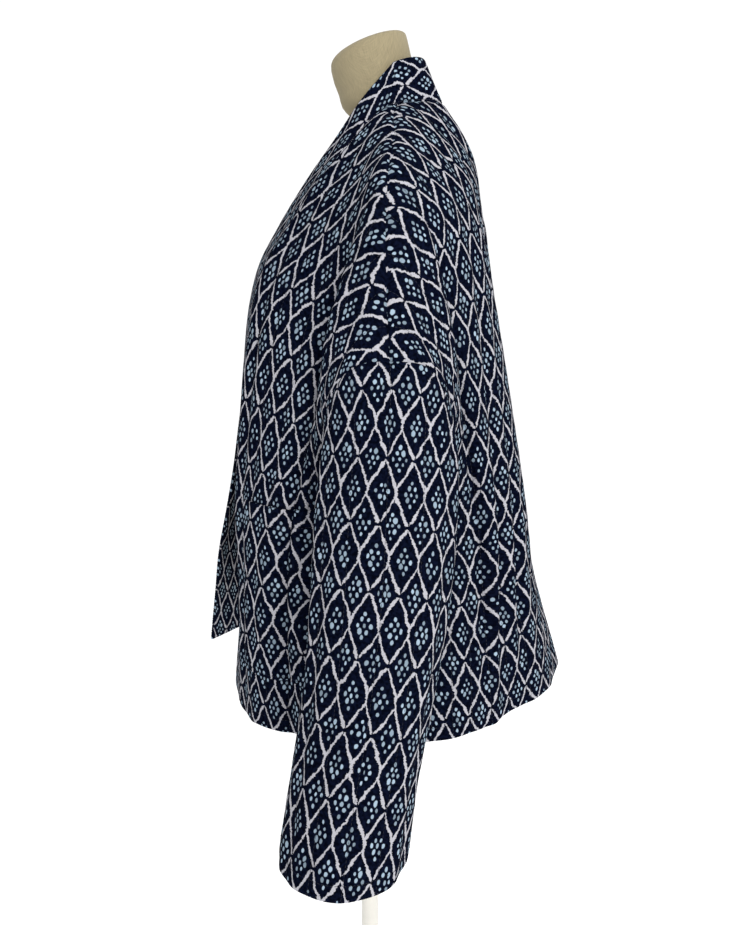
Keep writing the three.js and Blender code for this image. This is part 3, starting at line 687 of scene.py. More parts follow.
def chart(name, anchor, wrap=False):
    """Flat coordinates of a piece, in millimetres, that follow its columns without shearing:
    the least-squares answer over a coarse net, counted from the anchor column's top"""
    grid, normals = cloth()[name]
    if wrap:
        grid, normals = closed(grid), closed(normals)
    down = unit(np.gradient(grid, axis=0))
    right = unit(np.cross(normals, down))
    lean = math.radians(PRINT_LEAN.get(name, 0))
    cos, sin = math.cos(lean), math.sin(lean)
    down, right = down * cos + right * sin, right * cos - down * sin
    rows, columns = (np.unique(np.linspace(0, size - 1, nodes).round().astype(int))
                     for size, nodes in zip(grid.shape, CHART_NODES))
    points, right, down = (values[np.ix_(rows, columns)] for values in (grid, right, down))
    index = np.arange(points.shape[0] * points.shape[1]).reshape(points.shape[:2])
    matrix = np.zeros((index.size, index.size))
    wanted = np.zeros((index.size, 2))
    for a, b in ((np.s_[:-1], np.s_[1:]), (np.s_[:, :-1], np.s_[:, 1:])):
        step = points[b] - points[a]
        weight = (1 / np.linalg.norm(step, axis=-1)).ravel()
        rise = np.stack([(step * (field[a] + field[b]) / 2).sum(-1).ravel() for field in (right, down)], -1)
        i, j = index[a].ravel(), index[b].ravel()
        for first, second, sign in ((i, i, 1), (j, j, 1), (i, j, -1), (j, i, -1)):
            np.add.at(matrix, (first, second), sign * weight)
        np.add.at(wanted, j, rise * weight[:, None])
        np.add.at(wanted, i, -rise * weight[:, None])
    matrix[0, 0] += 1
    flat = np.linalg.solve(matrix, wanted).reshape(*points.shape[:2], 2)
    all_rows, all_columns = (smooth_weights(nodes, np.arange(size))
                             for nodes, size in zip((rows, columns), grid.shape))
    flat = np.einsum("ri,ijk,cj->rck", all_rows, flat, all_columns)
    return flat - flat[0, anchor] + PRINT_SHIFT.get(name, (0, 0))


def rounding(distance, radius):
    """How full a wall is this far from a free edge: a half circle"""
    return np.sqrt(np.clip(1 - (1 - np.clip(distance / radius, 0, 1)) ** 2, 0.02, 1))


def dip(distance, reach=DITCH_REACH):
    """How much of a seam's or a stitched line's dip is left this far from it"""
    return np.exp(-(distance / reach) ** 2)


def unevenness(u, v, seed, scale=0.02):
    """A smooth repeatable variation about zero over the cloth, at most about one"""
    random = np.random.default_rng(seed)
    total = np.zeros(np.broadcast(u, v).shape)
    for _ in range(5):
        turn, phase = random.uniform(0, 2 * np.pi, 2)
        size = scale * random.uniform(0.5, 1.6)
        total = total + np.sin((u * math.cos(turn) + v * math.sin(turn)) * size * 2 * np.pi + phase)
    return total / 3


# Meshes

def link(name, vertices, faces, materials, indices=None, uvs=None):
    """A new smooth object in the scene, from millimetres"""
    mesh = bpy.data.meshes.new(name)
    mesh.from_pydata((np.asarray(vertices) * MM).tolist(), [], [list(map(int, f)) for f in faces])
    for material in materials:
        mesh.materials.append(material)
    if indices is not None:
        mesh.polygons.foreach_set("material_index", np.asarray(indices, np.int32))
    mesh.polygons.foreach_set("use_smooth", np.ones(len(mesh.polygons), bool))
    for layer, values in (uvs or {}).items():
        mesh.uv_layers.new(name=layer).data.foreach_set("uv", np.asarray(values, np.float32).ravel())
    mesh.update()
    piece = bpy.data.objects.new(name, mesh)
    bpy.context.scene.collection.objects.link(piece)
    return piece


def wall_mesh(name, outer, inner, print_uv, quilt_uv, materials, wrap=False):
    """A closed wall between an outer and an inner grid, with the print's and the quilting's
    coordinates; the second material is the inside"""
    rows, columns = outer.shape[:2]
    row, column = np.indices((rows, columns + wrap))
    out, inn = (np.stack([row, column, np.full_like(row, side)], -1) for side in (0, 1))
    patches = [
        (out[:-1, :-1], out[1:, :-1], out[1:, 1:], out[:-1, 1:]),
        (inn[:-1, :-1], inn[:-1, 1:], inn[1:, 1:], inn[1:, :-1]),
        (out[0, :-1], out[0, 1:], inn[0, 1:], inn[0, :-1]),
        (out[-1, 1:], out[-1, :-1], inn[-1, :-1], inn[-1, 1:]),
    ]
    if not wrap:
        patches += [
            (out[1:, 0], out[:-1, 0], inn[:-1, 0], inn[1:, 0]),
            (out[:-1, -1], out[1:, -1], inn[1:, -1], inn[:-1, -1]),
        ]
    corners = np.concatenate([np.stack([part.reshape(-1, 3) for part in patch], 1) for patch in patches])
    r, c, s = np.moveaxis(corners, -1, 0)
    vertices = np.concatenate([outer.reshape(-1, 3), inner.reshape(-1, 3)])
    faces = s * rows * columns + r * columns + c % columns
    uvs = {"print": print_uv[r, c] * MM, "quilting": quilt_uv[r, c]}
    return link(name, vertices, faces, materials, s.min(axis=1), uvs)


def quilted_piece(name, q, anchor, rests_on, wrap=False):
    """One quilted panel or sleeve with its stitches: its wall puffs between them, dips at its
    seams and rounds over at its hem. There is a channel q for every column"""
    settings = bpy.context.scene.jacket_cloth
    grid, normals = cloth()[name]
    wall, puff, ditch = settings.wall / MM, settings.puff / MM, settings.ditch / MM
    cut = closed(grid) if wrap else grid
    down = arc_lengths(grid, 0)
    across = arc_lengths(cut, 1, anchor)[:, :len(q)]
    to_hem = down[-1][None] - down
    ends = np.clip(np.minimum(down / TOP_FLAT, to_hem / HEM_FLAT), 0, 1) ** FLAT_POWER
    uneven = 1 + PUFF_VARIES * unevenness(across, down, 3 + len(name))
    lift = puff * channel_wave(q) * ends * uneven
    seam = dip(down)
    if not wrap:
        to_sides = np.minimum(across - across[:, :1], across[:, -1:] - across)
        seam = np.maximum(seam, dip(to_sides))
    outer_at = lift - ditch * seam
    middle = (outer_at - wall) / 2
    fullness = rounding(to_hem, wall * 0.5)
    wave = HEM_WAVE["rise"] * unevenness(across, 0, HEM_WAVE["seed"], HEM_WAVE["scale"])
    hung = grid + (wave * np.exp(-to_hem / HEM_WAVE["reach"]))[..., None] * (0, 0, 1)
    outer = hung + normals * (middle + (outer_at - middle) * fullness)[..., None]
    inner = hung + normals * (middle + (-wall - middle) * fullness)[..., None]
    channels, lengths = q, down
    if wrap:
        channels, lengths = np.append(q, q[0] + SLEEVE_CHANNELS), closed(down)
    quilt_uv = np.stack([np.broadcast_to(channels, lengths.shape), lengths * MM], -1)
    print_uv = chart(name, anchor, wrap)
    piece = wall_mesh(name + "_cloth", outer, inner, print_uv, quilt_uv, cloth_materials(), wrap)
    finish_cloth(piece, name, cut, rests_on)

    valleys = np.flatnonzero(np.abs(q - np.round(q)) < 1e-6)
    if not wrap:
        valleys = valleys[(valleys > 0) & (valleys < len(q) - 1)]
    runs = [(outer[:, k], normals[:, k]) for k in valleys]
    values, per_mm = (sleeve_values(), SLEEVE_T_PER_MM) if wrap else (row_values(), HEM_V_PER_MM)
    hem = line_at(outer, normals, values, 1 - HEM_STITCH * per_mm)
    runs.append([np.concatenate([part, part[:1]]) for part in hem] if wrap else hem)
    stitch_mesh(name + "_stitches", runs)


def channel_wave(q):
    """How full the quilting is: 0 at a line of stitches and 1 between two"""
    return np.abs(np.sin(np.pi * q)) ** PUFF_POWER


def finish_cloth(piece, node, grid, rests_on):
    """Hangs a sewn piece from the frame's root and hides the frame's own part in its place"""
    across, down = grid[:-1, 1:] - grid[:-1, :-1], grid[1:, :-1] - grid[:-1, :-1]
    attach(piece, "root")
    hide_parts(node)


# Materials

def plug(value, slot):
    """Feeds a socket from a wire or another socket, or sets it to a constant"""
    if isinstance(value, Wire):
        value = value.socket
    if isinstance(value, bpy.types.NodeSocket):
        slot.id_data.links.new(value, slot)
    else:
        slot.default_value = value


class Wire:
    """One value in a material's nodes, so that a formula reads as a formula"""

    def __init__(self, tree, socket):
        self.tree = tree
        self.socket = socket

    def math(self, operation, *others):
        node = self.tree.nodes.new("ShaderNodeMath")
        node.operation = operation
        for slot, value in zip(node.inputs, (self, *others)):
            plug(value, slot)
        return Wire(self.tree, node.outputs[0])

    def __add__(self, other):
        return self.math("ADD", other)

    def __sub__(self, other):
        return self.math("SUBTRACT", other)

    def __mul__(self, other):
        return self.math("MULTIPLY", other)

    def __truediv__(self, other):
        return self.math("DIVIDE", other)

    def rest(self):
        """What is left of 1"""
        return self * -1.0 + 1.0

    def clamp(self, low, high):
        return self.math("MAXIMUM", low).math("MINIMUM", high)

    def ramp(self, low, high):
        """0 at low and 1 at high, smooth between"""
        node = self.tree.nodes.new("ShaderNodeMapRange")
        node.interpolation_type = "SMOOTHSTEP"
        for name, value in (("Value", self), ("From Min", low), ("From Max", high)):
            plug(value, node.inputs[name])
        return Wire(self.tree, node.outputs[0])


def new_material(name):
    """A material with its principled shader: (material, tree, shader)"""
    material = bpy.data.materials.new(name)
    material.use_nodes = True
    tree = material.node_tree
    return material, tree, tree.nodes["Principled BSDF"]


def feed(shader, looks):
    """Links or sets the named inputs of a shader"""
    for name, value in looks.items():
        plug(value, shader.inputs[name])


def split(tree, socket, kind="XYZ"):
    """The three parts of a vector, or of a Color, as wires"""
    node = tree.nodes.new("ShaderNodeSeparate" + kind)
    plug(socket, node.inputs[0])
    return [Wire(tree, part) for part in node.outputs]


def coordinates(tree, layer):
    """The two coordinates of a UV layer, as wires"""
    source = tree.nodes.new("ShaderNodeUVMap")
    source.uv_map = layer
    return split(tree, source.outputs[0])[:2]


def vector(tree, x, y, z=0.0):
    """A vector socket from two or three wires or numbers"""
    node = tree.nodes.new("ShaderNodeCombineXYZ")
    for slot, value in zip(node.inputs, (x, y, z)):
        plug(value, slot)
    return node.outputs[0]


def noise(tree, place, scale, detail=2.0, output="Fac"):
    """Noise about 0.5 at a place"""
    node = tree.nodes.new("ShaderNodeTexNoise")
    for name, value in (("Scale", scale), ("Detail", detail), ("Vector", place)):
        plug(value, node.inputs[name])
    return Wire(tree, node.outputs[output])


def random_pair(tree, x, y):
    """Two steady random numbers for each pair of whole numbers"""
    node = tree.nodes.new("ShaderNodeTexWhiteNoise")
    node.noise_dimensions = "2D"
    plug(vector(tree, x, y), node.inputs["Vector"])
    return split(tree, node.outputs["Color"], "Color")[:2]


def curve(wire, points):
    """The wire's value, from 0 to 1, through a drawn curve"""
    node = wire.tree.nodes.new("ShaderNodeFloatCurve")
    line = node.mapping.curves[0]
    line.points[0].location = points[0]
    line.points[1].location = points[-1]
    for place in points[1:-1]:
        line.points.new(*place)
    node.mapping.update()
    plug(wire, node.inputs["Value"])
    return Wire(wire.tree, node.outputs[0])


def mix_colour(tree, factor, a, b):
    """Colour a, or b where the factor is 1"""
    node = tree.nodes.new("ShaderNodeMix")
    node.data_type = "RGBA"
    plug(factor, node.inputs["Factor"])
    colour_slots = [slot for slot in node.inputs if slot.type == "RGBA"]
    for slot, value in zip(colour_slots, (a, b)):
        plug(value if isinstance(value, bpy.types.NodeSocket) else (*value, 1), slot)
    return next(out for out in node.outputs if out.type == "RGBA")


def shades(colour, *shares):
    """The colour at each share of its lightness"""
    return [[min(1, part * share) for part in colour] for share in shares]


def bump(tree, height, distance, normal=None):
    """A normal socket from a height wire, over another normal"""
    node = tree.nodes.new("ShaderNodeBump")
    feed(node, {"Distance": distance, "Height": height})
    if normal is not None:
        plug(normal, node.inputs["Normal"])
    return node.outputs[0]


def drift(tree, place, scale, amount, detail):
    """How far the print has moved at a place, across and down"""
    moved = split(tree, noise(tree, place, scale, detail, "Color"), "Color")
    return [(part - 0.5) * amount for part in moved[:2]]


def print_pattern(tree, settings):
    """The block print: a lattice of tall diamonds with hand-cut strokes, and nine dots in each.
    Gives where the lines and the dots are, the dots' tints and the place in the print"""
    u, v = (part * 1000.0 for part in coordinates(tree, "print"))
    slow_u, slow_v = drift(tree, vector(tree, u, v), *SLOW_DRIFT, 1.0)
    quick_u, quick_v = drift(tree, vector(tree, u, v, 7.0), *QUICK_DRIFT, 2.0)
    dot_u, dot_v = u + slow_u * 0.5, v + slow_v * 0.5
    u, v = u + slow_u + quick_u, v + slow_v + quick_v
    half_w = settings.diamond_width / MM / 2
    half_h = settings.diamond_height / MM / 2

    # lattice, folded onto one quarter about a crossing
    side = u.math("WRAP", half_w, -half_w)
    level = v.math("WRAP", half_h, -half_h)
    centre = (level.math("ABSOLUTE") / (half_h - STEM_MM)).math("MINIMUM", 1.0) * half_w
    slope = math.cos(math.atan2(half_w, half_h - STEM_MM))
    off = (side.math("ABSOLUTE") - centre).math("ABSOLUTE") * slope
    along = (level + half_h) / (2 * half_h)
    falling = (side * level).math("GREATER_THAN", 0.0)
    thick = curve(along, FALLING_STROKE) * falling + curve(along, RISING_STROKE) * falling.rest()
    thick = thick * STROKE_MM
    ragged = noise(tree, vector(tree, u, v, 3.0), 0.42, 3.0) - 0.5
    lines = (thick + ragged * RAGGED_MM - off).ramp(-LINE_SOFTNESS, LINE_SOFTNESS)
    lines = lines * thick.math("GREATER_THAN", THINNEST_MM)

    # dots, three by three along the diamond's own two directions
    p = dot_u / (2 * half_w) + dot_v / (2 * half_h)
    q = dot_v / (2 * half_h) - dot_u / (2 * half_w)
    p_cell, q_cell = p.math("FLOOR"), q.math("FLOOR")
    p_in, q_in = p - p_cell - 0.5, q - q_cell - 0.5
    x, y = (p_in - q_in) * half_w, (p_in + q_in) * half_h
    a = ((x / DOT_PITCH[0] + y / DOT_PITCH[1]) * 0.5).math("ROUND").clamp(-1.0, 1.0)
    b = ((y / DOT_PITCH[1] - x / DOT_PITCH[0]) * 0.5).math("ROUND").clamp(-1.0, 1.0)
    shift_x, shift_y = random_pair(tree, p_cell * 3.0 + a + 0.5, q_cell * 3.0 + b + 0.5)
    sizes, tints = random_pair(tree, p_cell * 3.0 + a + 71.5, q_cell * 3.0 + b + 13.5)
    x = x - (a - b) * DOT_PITCH[0] - (shift_x - 0.5) * DOT_JITTER[0]
    y = y - (a + b) * DOT_PITCH[1] - (shift_y - 0.5) * DOT_JITTER[1]
    odd = ((p_cell + q_cell) * 0.5).math("FRACT").math("GREATER_THAN", 0.25)
    wanted = odd * -2.0 + 1.0  # the large dot is low on the left, or high on the right
    large = a.math("COMPARE", 0.0, 0.1) * (b - wanted).math("COMPARE", 0.0, 0.1)
    grow = sizes * DOT_GROWTH[1] + DOT_GROWTH[0] + large * (BIG_DOT - 1.0)
    x, y = x / (grow * DOT_SIZE[0]), y / (grow * DOT_SIZE[1])
    reach = (x * x + y * y).math("SQRT") + quick_u * DOT_RAGGED
    dots = reach.rest().ramp(-DOT_SOFTNESS, DOT_SOFTNESS) * sizes.math("GREATER_THAN", MISSING_DOTS)
    return lines, dots, tints, vector(tree, u, v)


@functools.cache
def cloth_materials():
    """The printed outside and the plain inside of the quilted cloth"""
    settings = bpy.context.scene.jacket_print
    outside, tree, shader = new_material("block_printed_cotton")
    lines, dots, tints, place = print_pattern(tree, settings)
    # The ground is darker and lighter in patches a few millimetres across: partly wear, partly painted
    # shade of the quilting's puckers
    wear_and_pucker_shade = noise(tree, place, 0.3, 3.0).ramp(0.35, 0.65)
    ink = noise(tree, place, 0.9, 3.0).ramp(0.28, 0.60)
    ground = mix_colour(tree, wear_and_pucker_shade, *shades(settings.ground, 0.4, 1.35))
    dot_ink = mix_colour(tree, tints, *shades(settings.dot, 0.62, 1.25))
    line_ink = mix_colour(tree, ink, *shades(settings.line, 0.72, 1))
    dotted = mix_colour(tree, dots * 0.94, ground, dot_ink)
    colour = mix_colour(tree, lines * 0.97, dotted, line_ink)
    feed(shader, {"Base Color": colour, "Roughness": 0.88, "Specular IOR Level": COTTON_SPECULAR,
                  "Normal": cotton_relief(tree)})

    inside, tree, shader = new_material("plain_cotton_inside")
    u, v = coordinates(tree, "print")
    slub = noise(tree, vector(tree, u * 900.0, v * 120.0), 1.0, 3.0)
    colour = mix_colour(tree, slub, *shades(settings.ground, 0.8, 1.2))
    feed(shader, {"Base Color": colour, "Roughness": 0.92, "Specular IOR Level": COTTON_SPECULAR,
                  "Normal": cotton_relief(tree)})
    return outside, inside


def crossed(tree, fine, coarse, detail):
    """Noise drawn out along the warp and noise drawn out along the weft"""
    u, v = coordinates(tree, "print")
    return [noise(tree, vector(tree, u * across, v * down), 1.0, detail)
            for across, down in ((fine, coarse), (coarse, fine))]


def cotton_relief(tree):
    """Weave, and the puckers that the quilting thread draws in the cloth"""
    warp, weft = crossed(tree, 1800.0, 260.0, 1.0)
    weave = bump(tree, warp + weft, 0.00018)
    u, v = coordinates(tree, "print")
    q, length = coordinates(tree, "quilting")
    to_line = (q - q.math("ROUND")).math("ABSOLUTE") * CHANNEL_MM
    near = (to_line * -0.22).math("EXPONENT")
    wander = noise(tree, vector(tree, q * 5.0, length * 60.0), 1.0, 2.0)
    ripple = (length * 720.0 + wander * 9.0).math("SINE")
    hills = noise(tree, vector(tree, u * 55.0, v * 38.0), 1.0, 2.0)
    return bump(tree, near * ripple * 0.35 + hills * 0.9, 0.0016, weave)


@functools.cache
def thread_material():
    """Navy sewing thread with a slight gloss"""
    material, tree, shader = new_material("navy_thread")
    shade = noise(tree, tree.nodes.new("ShaderNodeTexCoord").outputs["Object"], 600.0)
    ground = bpy.context.scene.jacket_print.ground
    feed(shader, {"Base Color": mix_colour(tree, shade, *shades(ground, 0.8, 1.7)), "Roughness": 0.55})
    return material


@functools.cache
def linen_material():
    """Plain-woven linen with slubs"""
    material, tree, shader = new_material("form_linen_cover")
    warp, weft = crossed(tree, 1400.0, 90.0, 2.0)
    threads = warp * 0.5 + weft * 0.5
    u, v = coordinates(tree, "print")
    cloud = noise(tree, vector(tree, u * 14.0, v * 14.0), 1.0, 3.0)
    light = threads.ramp(0.3, 0.7) * 0.75 + cloud * 0.25
    colour = mix_colour(tree, light, *shades(bpy.context.scene.jacket_form.linen, 0.74, 1.22))
    feed(shader, {"Base Color": colour, "Roughness": 0.9, "Specular IOR Level": 0.25, "Sheen Weight": 0.1,
                  "Normal": bump(tree, threads, 0.0006)})
    return material


@functools.cache
def iron_material():
    """Satin off-white paint over cast and drawn metal"""
    material, tree, shader = new_material("stand_white_paint")
    place = tree.nodes.new("ShaderNodeTexCoord").outputs["Object"]
    grain = noise(tree, place, 240.0, 3.0)
    rubbed = noise(tree, place, 9.0, 4.0).ramp(0.45, 0.8)
    colour = mix_colour(tree, rubbed, *shades(bpy.context.scene.jacket_form.iron, 1, 0.86))
    feed(shader, {"Base Color": colour, "Roughness": grain * 0.18 + 0.34,
                  "Normal": bump(tree, grain, 0.0003)})
    return material


# Stitches

def ring_faces(rings, sides):
    """Quads between neighbouring rings of vertices, and a face at each end"""
    k = np.arange(sides)
    quad = np.stack([k, (k + 1) % sides, sides + (k + 1) % sides, sides + k], 1)
    last = (rings - 1) * sides
    faces = [face for low in range(0, last, sides) for face in (quad + low).tolist()]
    return faces + [list(range(sides))[::-1], list(range(last, last + sides))]


def stitch_mesh(name, runs):
    """Rows of small arched stitches; each run is (points, normals) along one line, in mm"""
    settings = bpy.context.scene.jacket_cloth
    length, thread = settings.stitch / MM, settings.thread / MM
    pitch = length * STITCH_PITCH
    stitches = []
    for points, normals in runs:
        walked = np.append(0, np.cumsum(np.linalg.norm(np.diff(points, axis=0), axis=1)))
        if walked[-1] < 3 * pitch:
            continue
        begin = np.arange(pitch * 0.5, walked[-1] - pitch, pitch)
        wanted = ((begin, points), (begin + length, points), (begin + length / 2, normals))
        stitches.append([np.stack([np.interp(at, walked, values[:, k]) for k in range(3)], -1)
                         for at, values in wanted])
    start, end, up = (np.concatenate(parts) for parts in zip(*stitches))
    up = unit(up)
    side = unit(np.cross(end - start, up))
    rings = []
    for share, lift in STITCH_ARCH:
        centre = start + (end - start) * share + up * thread * lift
        for turn in STITCH_CORNERS:
            angle = math.radians(turn)
            rings.append(centre + (side * math.cos(angle) + up * math.sin(angle)) * thread * STITCH_RADIUS)
    one = np.array(ring_faces(len(STITCH_ARCH), len(STITCH_CORNERS))[:-2])
    faces = (one[None] + np.arange(len(start))[:, None, None] * len(rings)).reshape(-1, 4)
    piece = link(name, np.stack(rings, axis=1).reshape(-1, 3), faces, [thread_material()])
    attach(piece, "root")


def line_at(grid, normals, values, at, axis=0):
    """A run along the row or column where values, one per row or column, reach the wanted one"""
    place = np.interp(at, values, np.arange(len(values)))
    low = int(place)
    share = place - low
    high = min(low + 1, len(values) - 1)
    line, up = (np.take(part, low, axis) * (1 - share) + np.take(part, high, axis) * share
                for part in (grid, normals))
    return line, unit(up)


def front_columns():
    """Each front's side, the s of its columns and the column at which its print is anchored"""
    yoke, _ = column_values()
    for side, s in (("left", yoke), ("right", yoke[::-1])):
        yield side, s, int(np.argmin(np.abs(s - VALLEY_S)))


# Operators

class JACKET_OT_back(bpy.types.Operator):
    """Builds the back panel with its quilting"""
    bl_idname = "jacket.back"
    bl_label = "Back"

    def execute(self, context):
        _, half = column_values()
        s = np.concatenate([half[::-1], half[1:]])
        quilted_piece("back", channel_of(s), len(half) - 1, ["dress_form"])
        return {"FINISHED"}


class JACKET_OT_fronts(bpy.types.Operator):
    """Builds the two open fronts with their quilting"""
    bl_idname = "jacket.fronts"
    bl_label = "Fronts"

    def execute(self, context):
        for side, s, anchor in front_columns():
            quilted_piece("front_" + side, channel_of(s), anchor, ["dress_form"])
        return {"FINISHED"}


class JACKET_OT_sleeves(bpy.types.Operator):
    """Builds the two straight sleeves with their quilting"""
    bl_idname = "jacket.sleeves"
    bl_label = "Sleeves"

    def execute(self, context):
        v = armhole_values()
        q = np.concatenate([-v[:0:-1], v[:-1]]) * SLEEVE_CHANNELS
        for side in ("left", "right"):
            quilted_piece("sleeve_" + side, q, len(v) - 1, ["back", "front_" + side], wrap=True)
        return {"FINISHED"}


class JACKET_OT_neckband(bpy.types.Operator):
    """Builds the folded neckband, smooth at its fold and sewn at its seam"""
    bl_idname = "jacket.neckband"
    bl_label = "Neckband"

    def execute(self, context):
        settings = context.scene.jacket_cloth
        grid, normals = cloth()["neckband"]
        wall, ditch = settings.band_wall / MM, settings.ditch / MM
        across = arc_lengths(grid, 0)
        along = arc_lengths(grid, 1, grid.shape[1] // 2)
        to_seam = across[-1][None] - across
        to_end = np.minimum(along - along[:, :1], along[:, -1:] - along)
        full = rounding(across, wall * 0.5) * rounding(to_end, wall * 0.4)
        soft = BAND_WAVE["rise"] * unevenness(across, along, BAND_WAVE["seed"], BAND_WAVE["scale"])
        middle = -wall / 2 + soft * np.clip(to_seam / BAND_WAVE["reach"], 0, 1)
        outer = grid + normals * (middle + (wall / 2 - ditch * dip(to_seam)) * full)[..., None]
        inner = grid + normals * (middle - wall / 2 * full)[..., None]
        print_uv = np.stack([across, along], -1)
        quilt_uv = np.stack([np.full_like(across, 0.5), along * MM], -1)
        printed = cloth_materials()[0]
        piece = wall_mesh("neckband_cloth", outer, inner, print_uv, quilt_uv, [printed, printed])
        finish_cloth(piece, "neckband", grid, ["dress_form"])
        rows = np.linspace(0, 1, len(grid))
        stitch_mesh("neckband_stitches", [line_at(outer, normals, rows, at) for at in BAND_STITCHES])
        return {"FINISHED"}


class JACKET_OT_pockets(bpy.types.Operator):
    """Builds the patch pockets on the fronts' own surface"""
    bl_idname = "jacket.pockets"
    bl_label = "Pockets"

    def execute(self, context):
        settings = context.scene.jacket_cloth
        wall, puff = settings.pocket_wall / MM, settings.puff / MM
        v = row_values()
        first, last = POCKET_COLUMNS
        ends = [NECK_S + (SIDE_S - NECK_S) / YOKE_STEPS * k for k in POCKET_COLUMNS]
        wide = with_edges(np.linspace(*ends, (last - first) * FINE + 1), 1, 1)
        deep = with_edges(np.linspace(POCKET_TOP_V, POCKET_BOTTOM_V, POCKET_ROWS + 1),
                          POCKET_V_PER_MM, HEM_V_PER_MM)
        rows = np.interp(deep, v, np.arange(len(v)))
        for side, s, anchor in front_columns():
            grid, normals = cloth()["front_" + side]
            sign = 1 if side == "left" else -1
            inside_s = wide[::sign]
            q = channel_of(inside_s)
            columns = np.interp(inside_s, s[::sign], np.arange(len(s))[::sign])
            base, up = sample(grid, rows, columns), unit(sample(normals, rows, columns))
            down, across = arc_lengths(base, 0), arc_lengths(base, 1)
            to_floor = down[-1][None] - down
            to_sides = np.minimum(across, across[:, -1:] - across)
            sewn = np.minimum(to_floor, to_sides)
            full = rounding(np.minimum(sewn, down), wall * 0.5)
            rest = POCKET_GAP + puff * channel_wave(q)
            belly, from_floor, from_sides = POCKET_BELLY
            filled = np.clip(to_floor / from_floor, 0, 1) * np.clip(to_sides / from_sides, 0, 1)
            top = rest + wall + belly * filled
            for (depth, reach), off in zip(PRESSED, (sewn - POCKET_STITCH, down - MOUTH_STITCH)):
                top = top - depth * dip(off, reach)
            middle = (rest + top) / 2
            half = (top - rest) / 2 * full
            outer = base + up * (middle + half)[..., None]
            inner = base + up * (middle - half)[..., None]
            print_uv = sample(chart("front_" + side, anchor), rows, columns) + POCKET_SHIFT
            quilt_uv = np.stack([np.broadcast_to(q, down.shape), down * MM], -1)
            name = "pocket_" + side
            piece = wall_mesh(name + "_cloth", outer, inner, print_uv, quilt_uv, cloth_materials())
            finish_cloth(piece, name, base, ["front_" + side])
            length, width = down[:, 4], across[4]
            stitch_mesh(name + "_stitches", [
                line_at(outer, up, length, MOUTH_STITCH),
                line_at(outer, up, length, length[-1] - POCKET_STITCH),
                line_at(outer, up, width, POCKET_STITCH, axis=1),
                line_at(outer, up, width, width[-1] - POCKET_STITCH, axis=1),
            ])
        return {"FINISHED"}


def sample(grid, rows, columns):
    """The grid at fractional rows and columns"""
    low_r, low_c = np.floor(rows).astype(int), np.floor(columns).astype(int)
    high_r, high_c = (np.minimum(low + 1, size - 1) for low, size in zip((low_r, low_c), grid.shape))
    share_r, share_c = (rows - low_r)[:, None, None], (columns - low_c)[None, :, None]
    upper, lower = (grid[row][:, low_c] * (1 - share_c) + grid[row][:, high_c] * share_c
                    for row in (low_r, high_r))
    return upper * (1 - share_r) + lower * share_r


def form_ring(section):
    """One section of the form: an oval with its own front and back, leaning about the X axis"""
    turn = np.linspace(0, 2 * np.pi, FORM_SIDES, endpoint=False)
    power = 2 / section.get("round", 2)
    cos, sin = (np.sign(part) * np.abs(part) ** power for part in (np.cos(turn), np.sin(turn)))
    y = (section["front"] + section["back"]) / 2
    dy = (section["back"] - section["front"]) / 2 * sin
    lean = math.tan(math.radians(section.get("lean", 0)))
    return np.stack([section["half"] * cos, y + dy, section["z"] + dy * lean], -1)


def shoulder_height(x):
    """Height of the shoulder seams this far from the middle"""
    tops = np.array([THREADS[name][1] for name in ("neck", "blade", "valley")], float)
    return (smooth_weights(tops[:, 0], x) @ tops[:, 2])[0]


def form_rings():
    """The form's sections from the bottom to the rim of its cap"""
    settings = bpy.context.scene.jacket_cloth
    wall, band = settings.wall / MM, settings.band_wall / MM
    sections = list(FORM)
    for row in SHOULDERS:
        x = row["half"]
        slope = (shoulder_height(x + 1) - shoulder_height(x - 1)) / 2
        thick = wall if x > THREADS["neck"][1][0] else band + FORM_SEAT
        sections.append({**row, "z": shoulder_height(x) - (thick + FORM_SEAT) * math.hypot(1, slope)})
    sections += NECK
    for turn in CAP_TURNS:
        angle = math.radians(turn)
        half = CAP["half"] - CAP["edge"] * (1 - math.cos(angle)) * CAP["flat"]
        sections.append({"z": CAP["z"] + CAP["edge"] * math.sin(angle), "half": half,
                         "front": CAP["y"] - half, "back": CAP["y"] + half, "lean": CAP["lean"]})
    return np.array([form_ring(section) for section in sections])


class JACKET_OT_form(bpy.types.Operator):
    """Builds the linen-covered dress form with its seams"""
    bl_idname = "jacket.form"
    bl_label = "Dress form"

    def execute(self, context):
        rings = form_rings()
        knots = np.append(0, np.cumsum(np.linalg.norm(np.diff(rings, axis=0), axis=2).mean(axis=1)))
        counts = np.maximum(2, np.round(np.diff(knots) / FORM_ROW_MM)).astype(int)
        grid = np.einsum("rk,knc->rnc", smooth_weights(knots, spaced(knots, counts)), rings)
        bottom, top = grid[0].mean(axis=0), grid[-1].mean(axis=0) + (0, 0, CAP["dome"])
        whole = np.array([
            *(bottom + (grid[0] - bottom) * size for size in END_RINGS[::-1]), *grid,
            *(top + (grid[-1] - top) * size for size in END_RINGS)])
        faces = ring_faces(len(whole), FORM_SIDES)
        down, around = arc_lengths(whole, 0), arc_lengths(closed(whole), 1)
        uv = []
        for face in faces:
            columns = [k % FORM_SIDES for k in face]
            if len(face) == 4 and 0 in columns and FORM_SIDES - 1 in columns:
                columns = [column or FORM_SIDES for column in columns]
            uv += [(around[k // FORM_SIDES, column], down[k // FORM_SIDES, k % FORM_SIDES])
                   for k, column in zip(face, columns)]
        piece = link("form_cover", whole.reshape(-1, 3), faces, [linen_material()],
                     uvs={"print": np.array(uv) * MM})
        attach(piece, "root")
        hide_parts("dress_form")
        form_seams(grid)
        return {"FINISHED"}


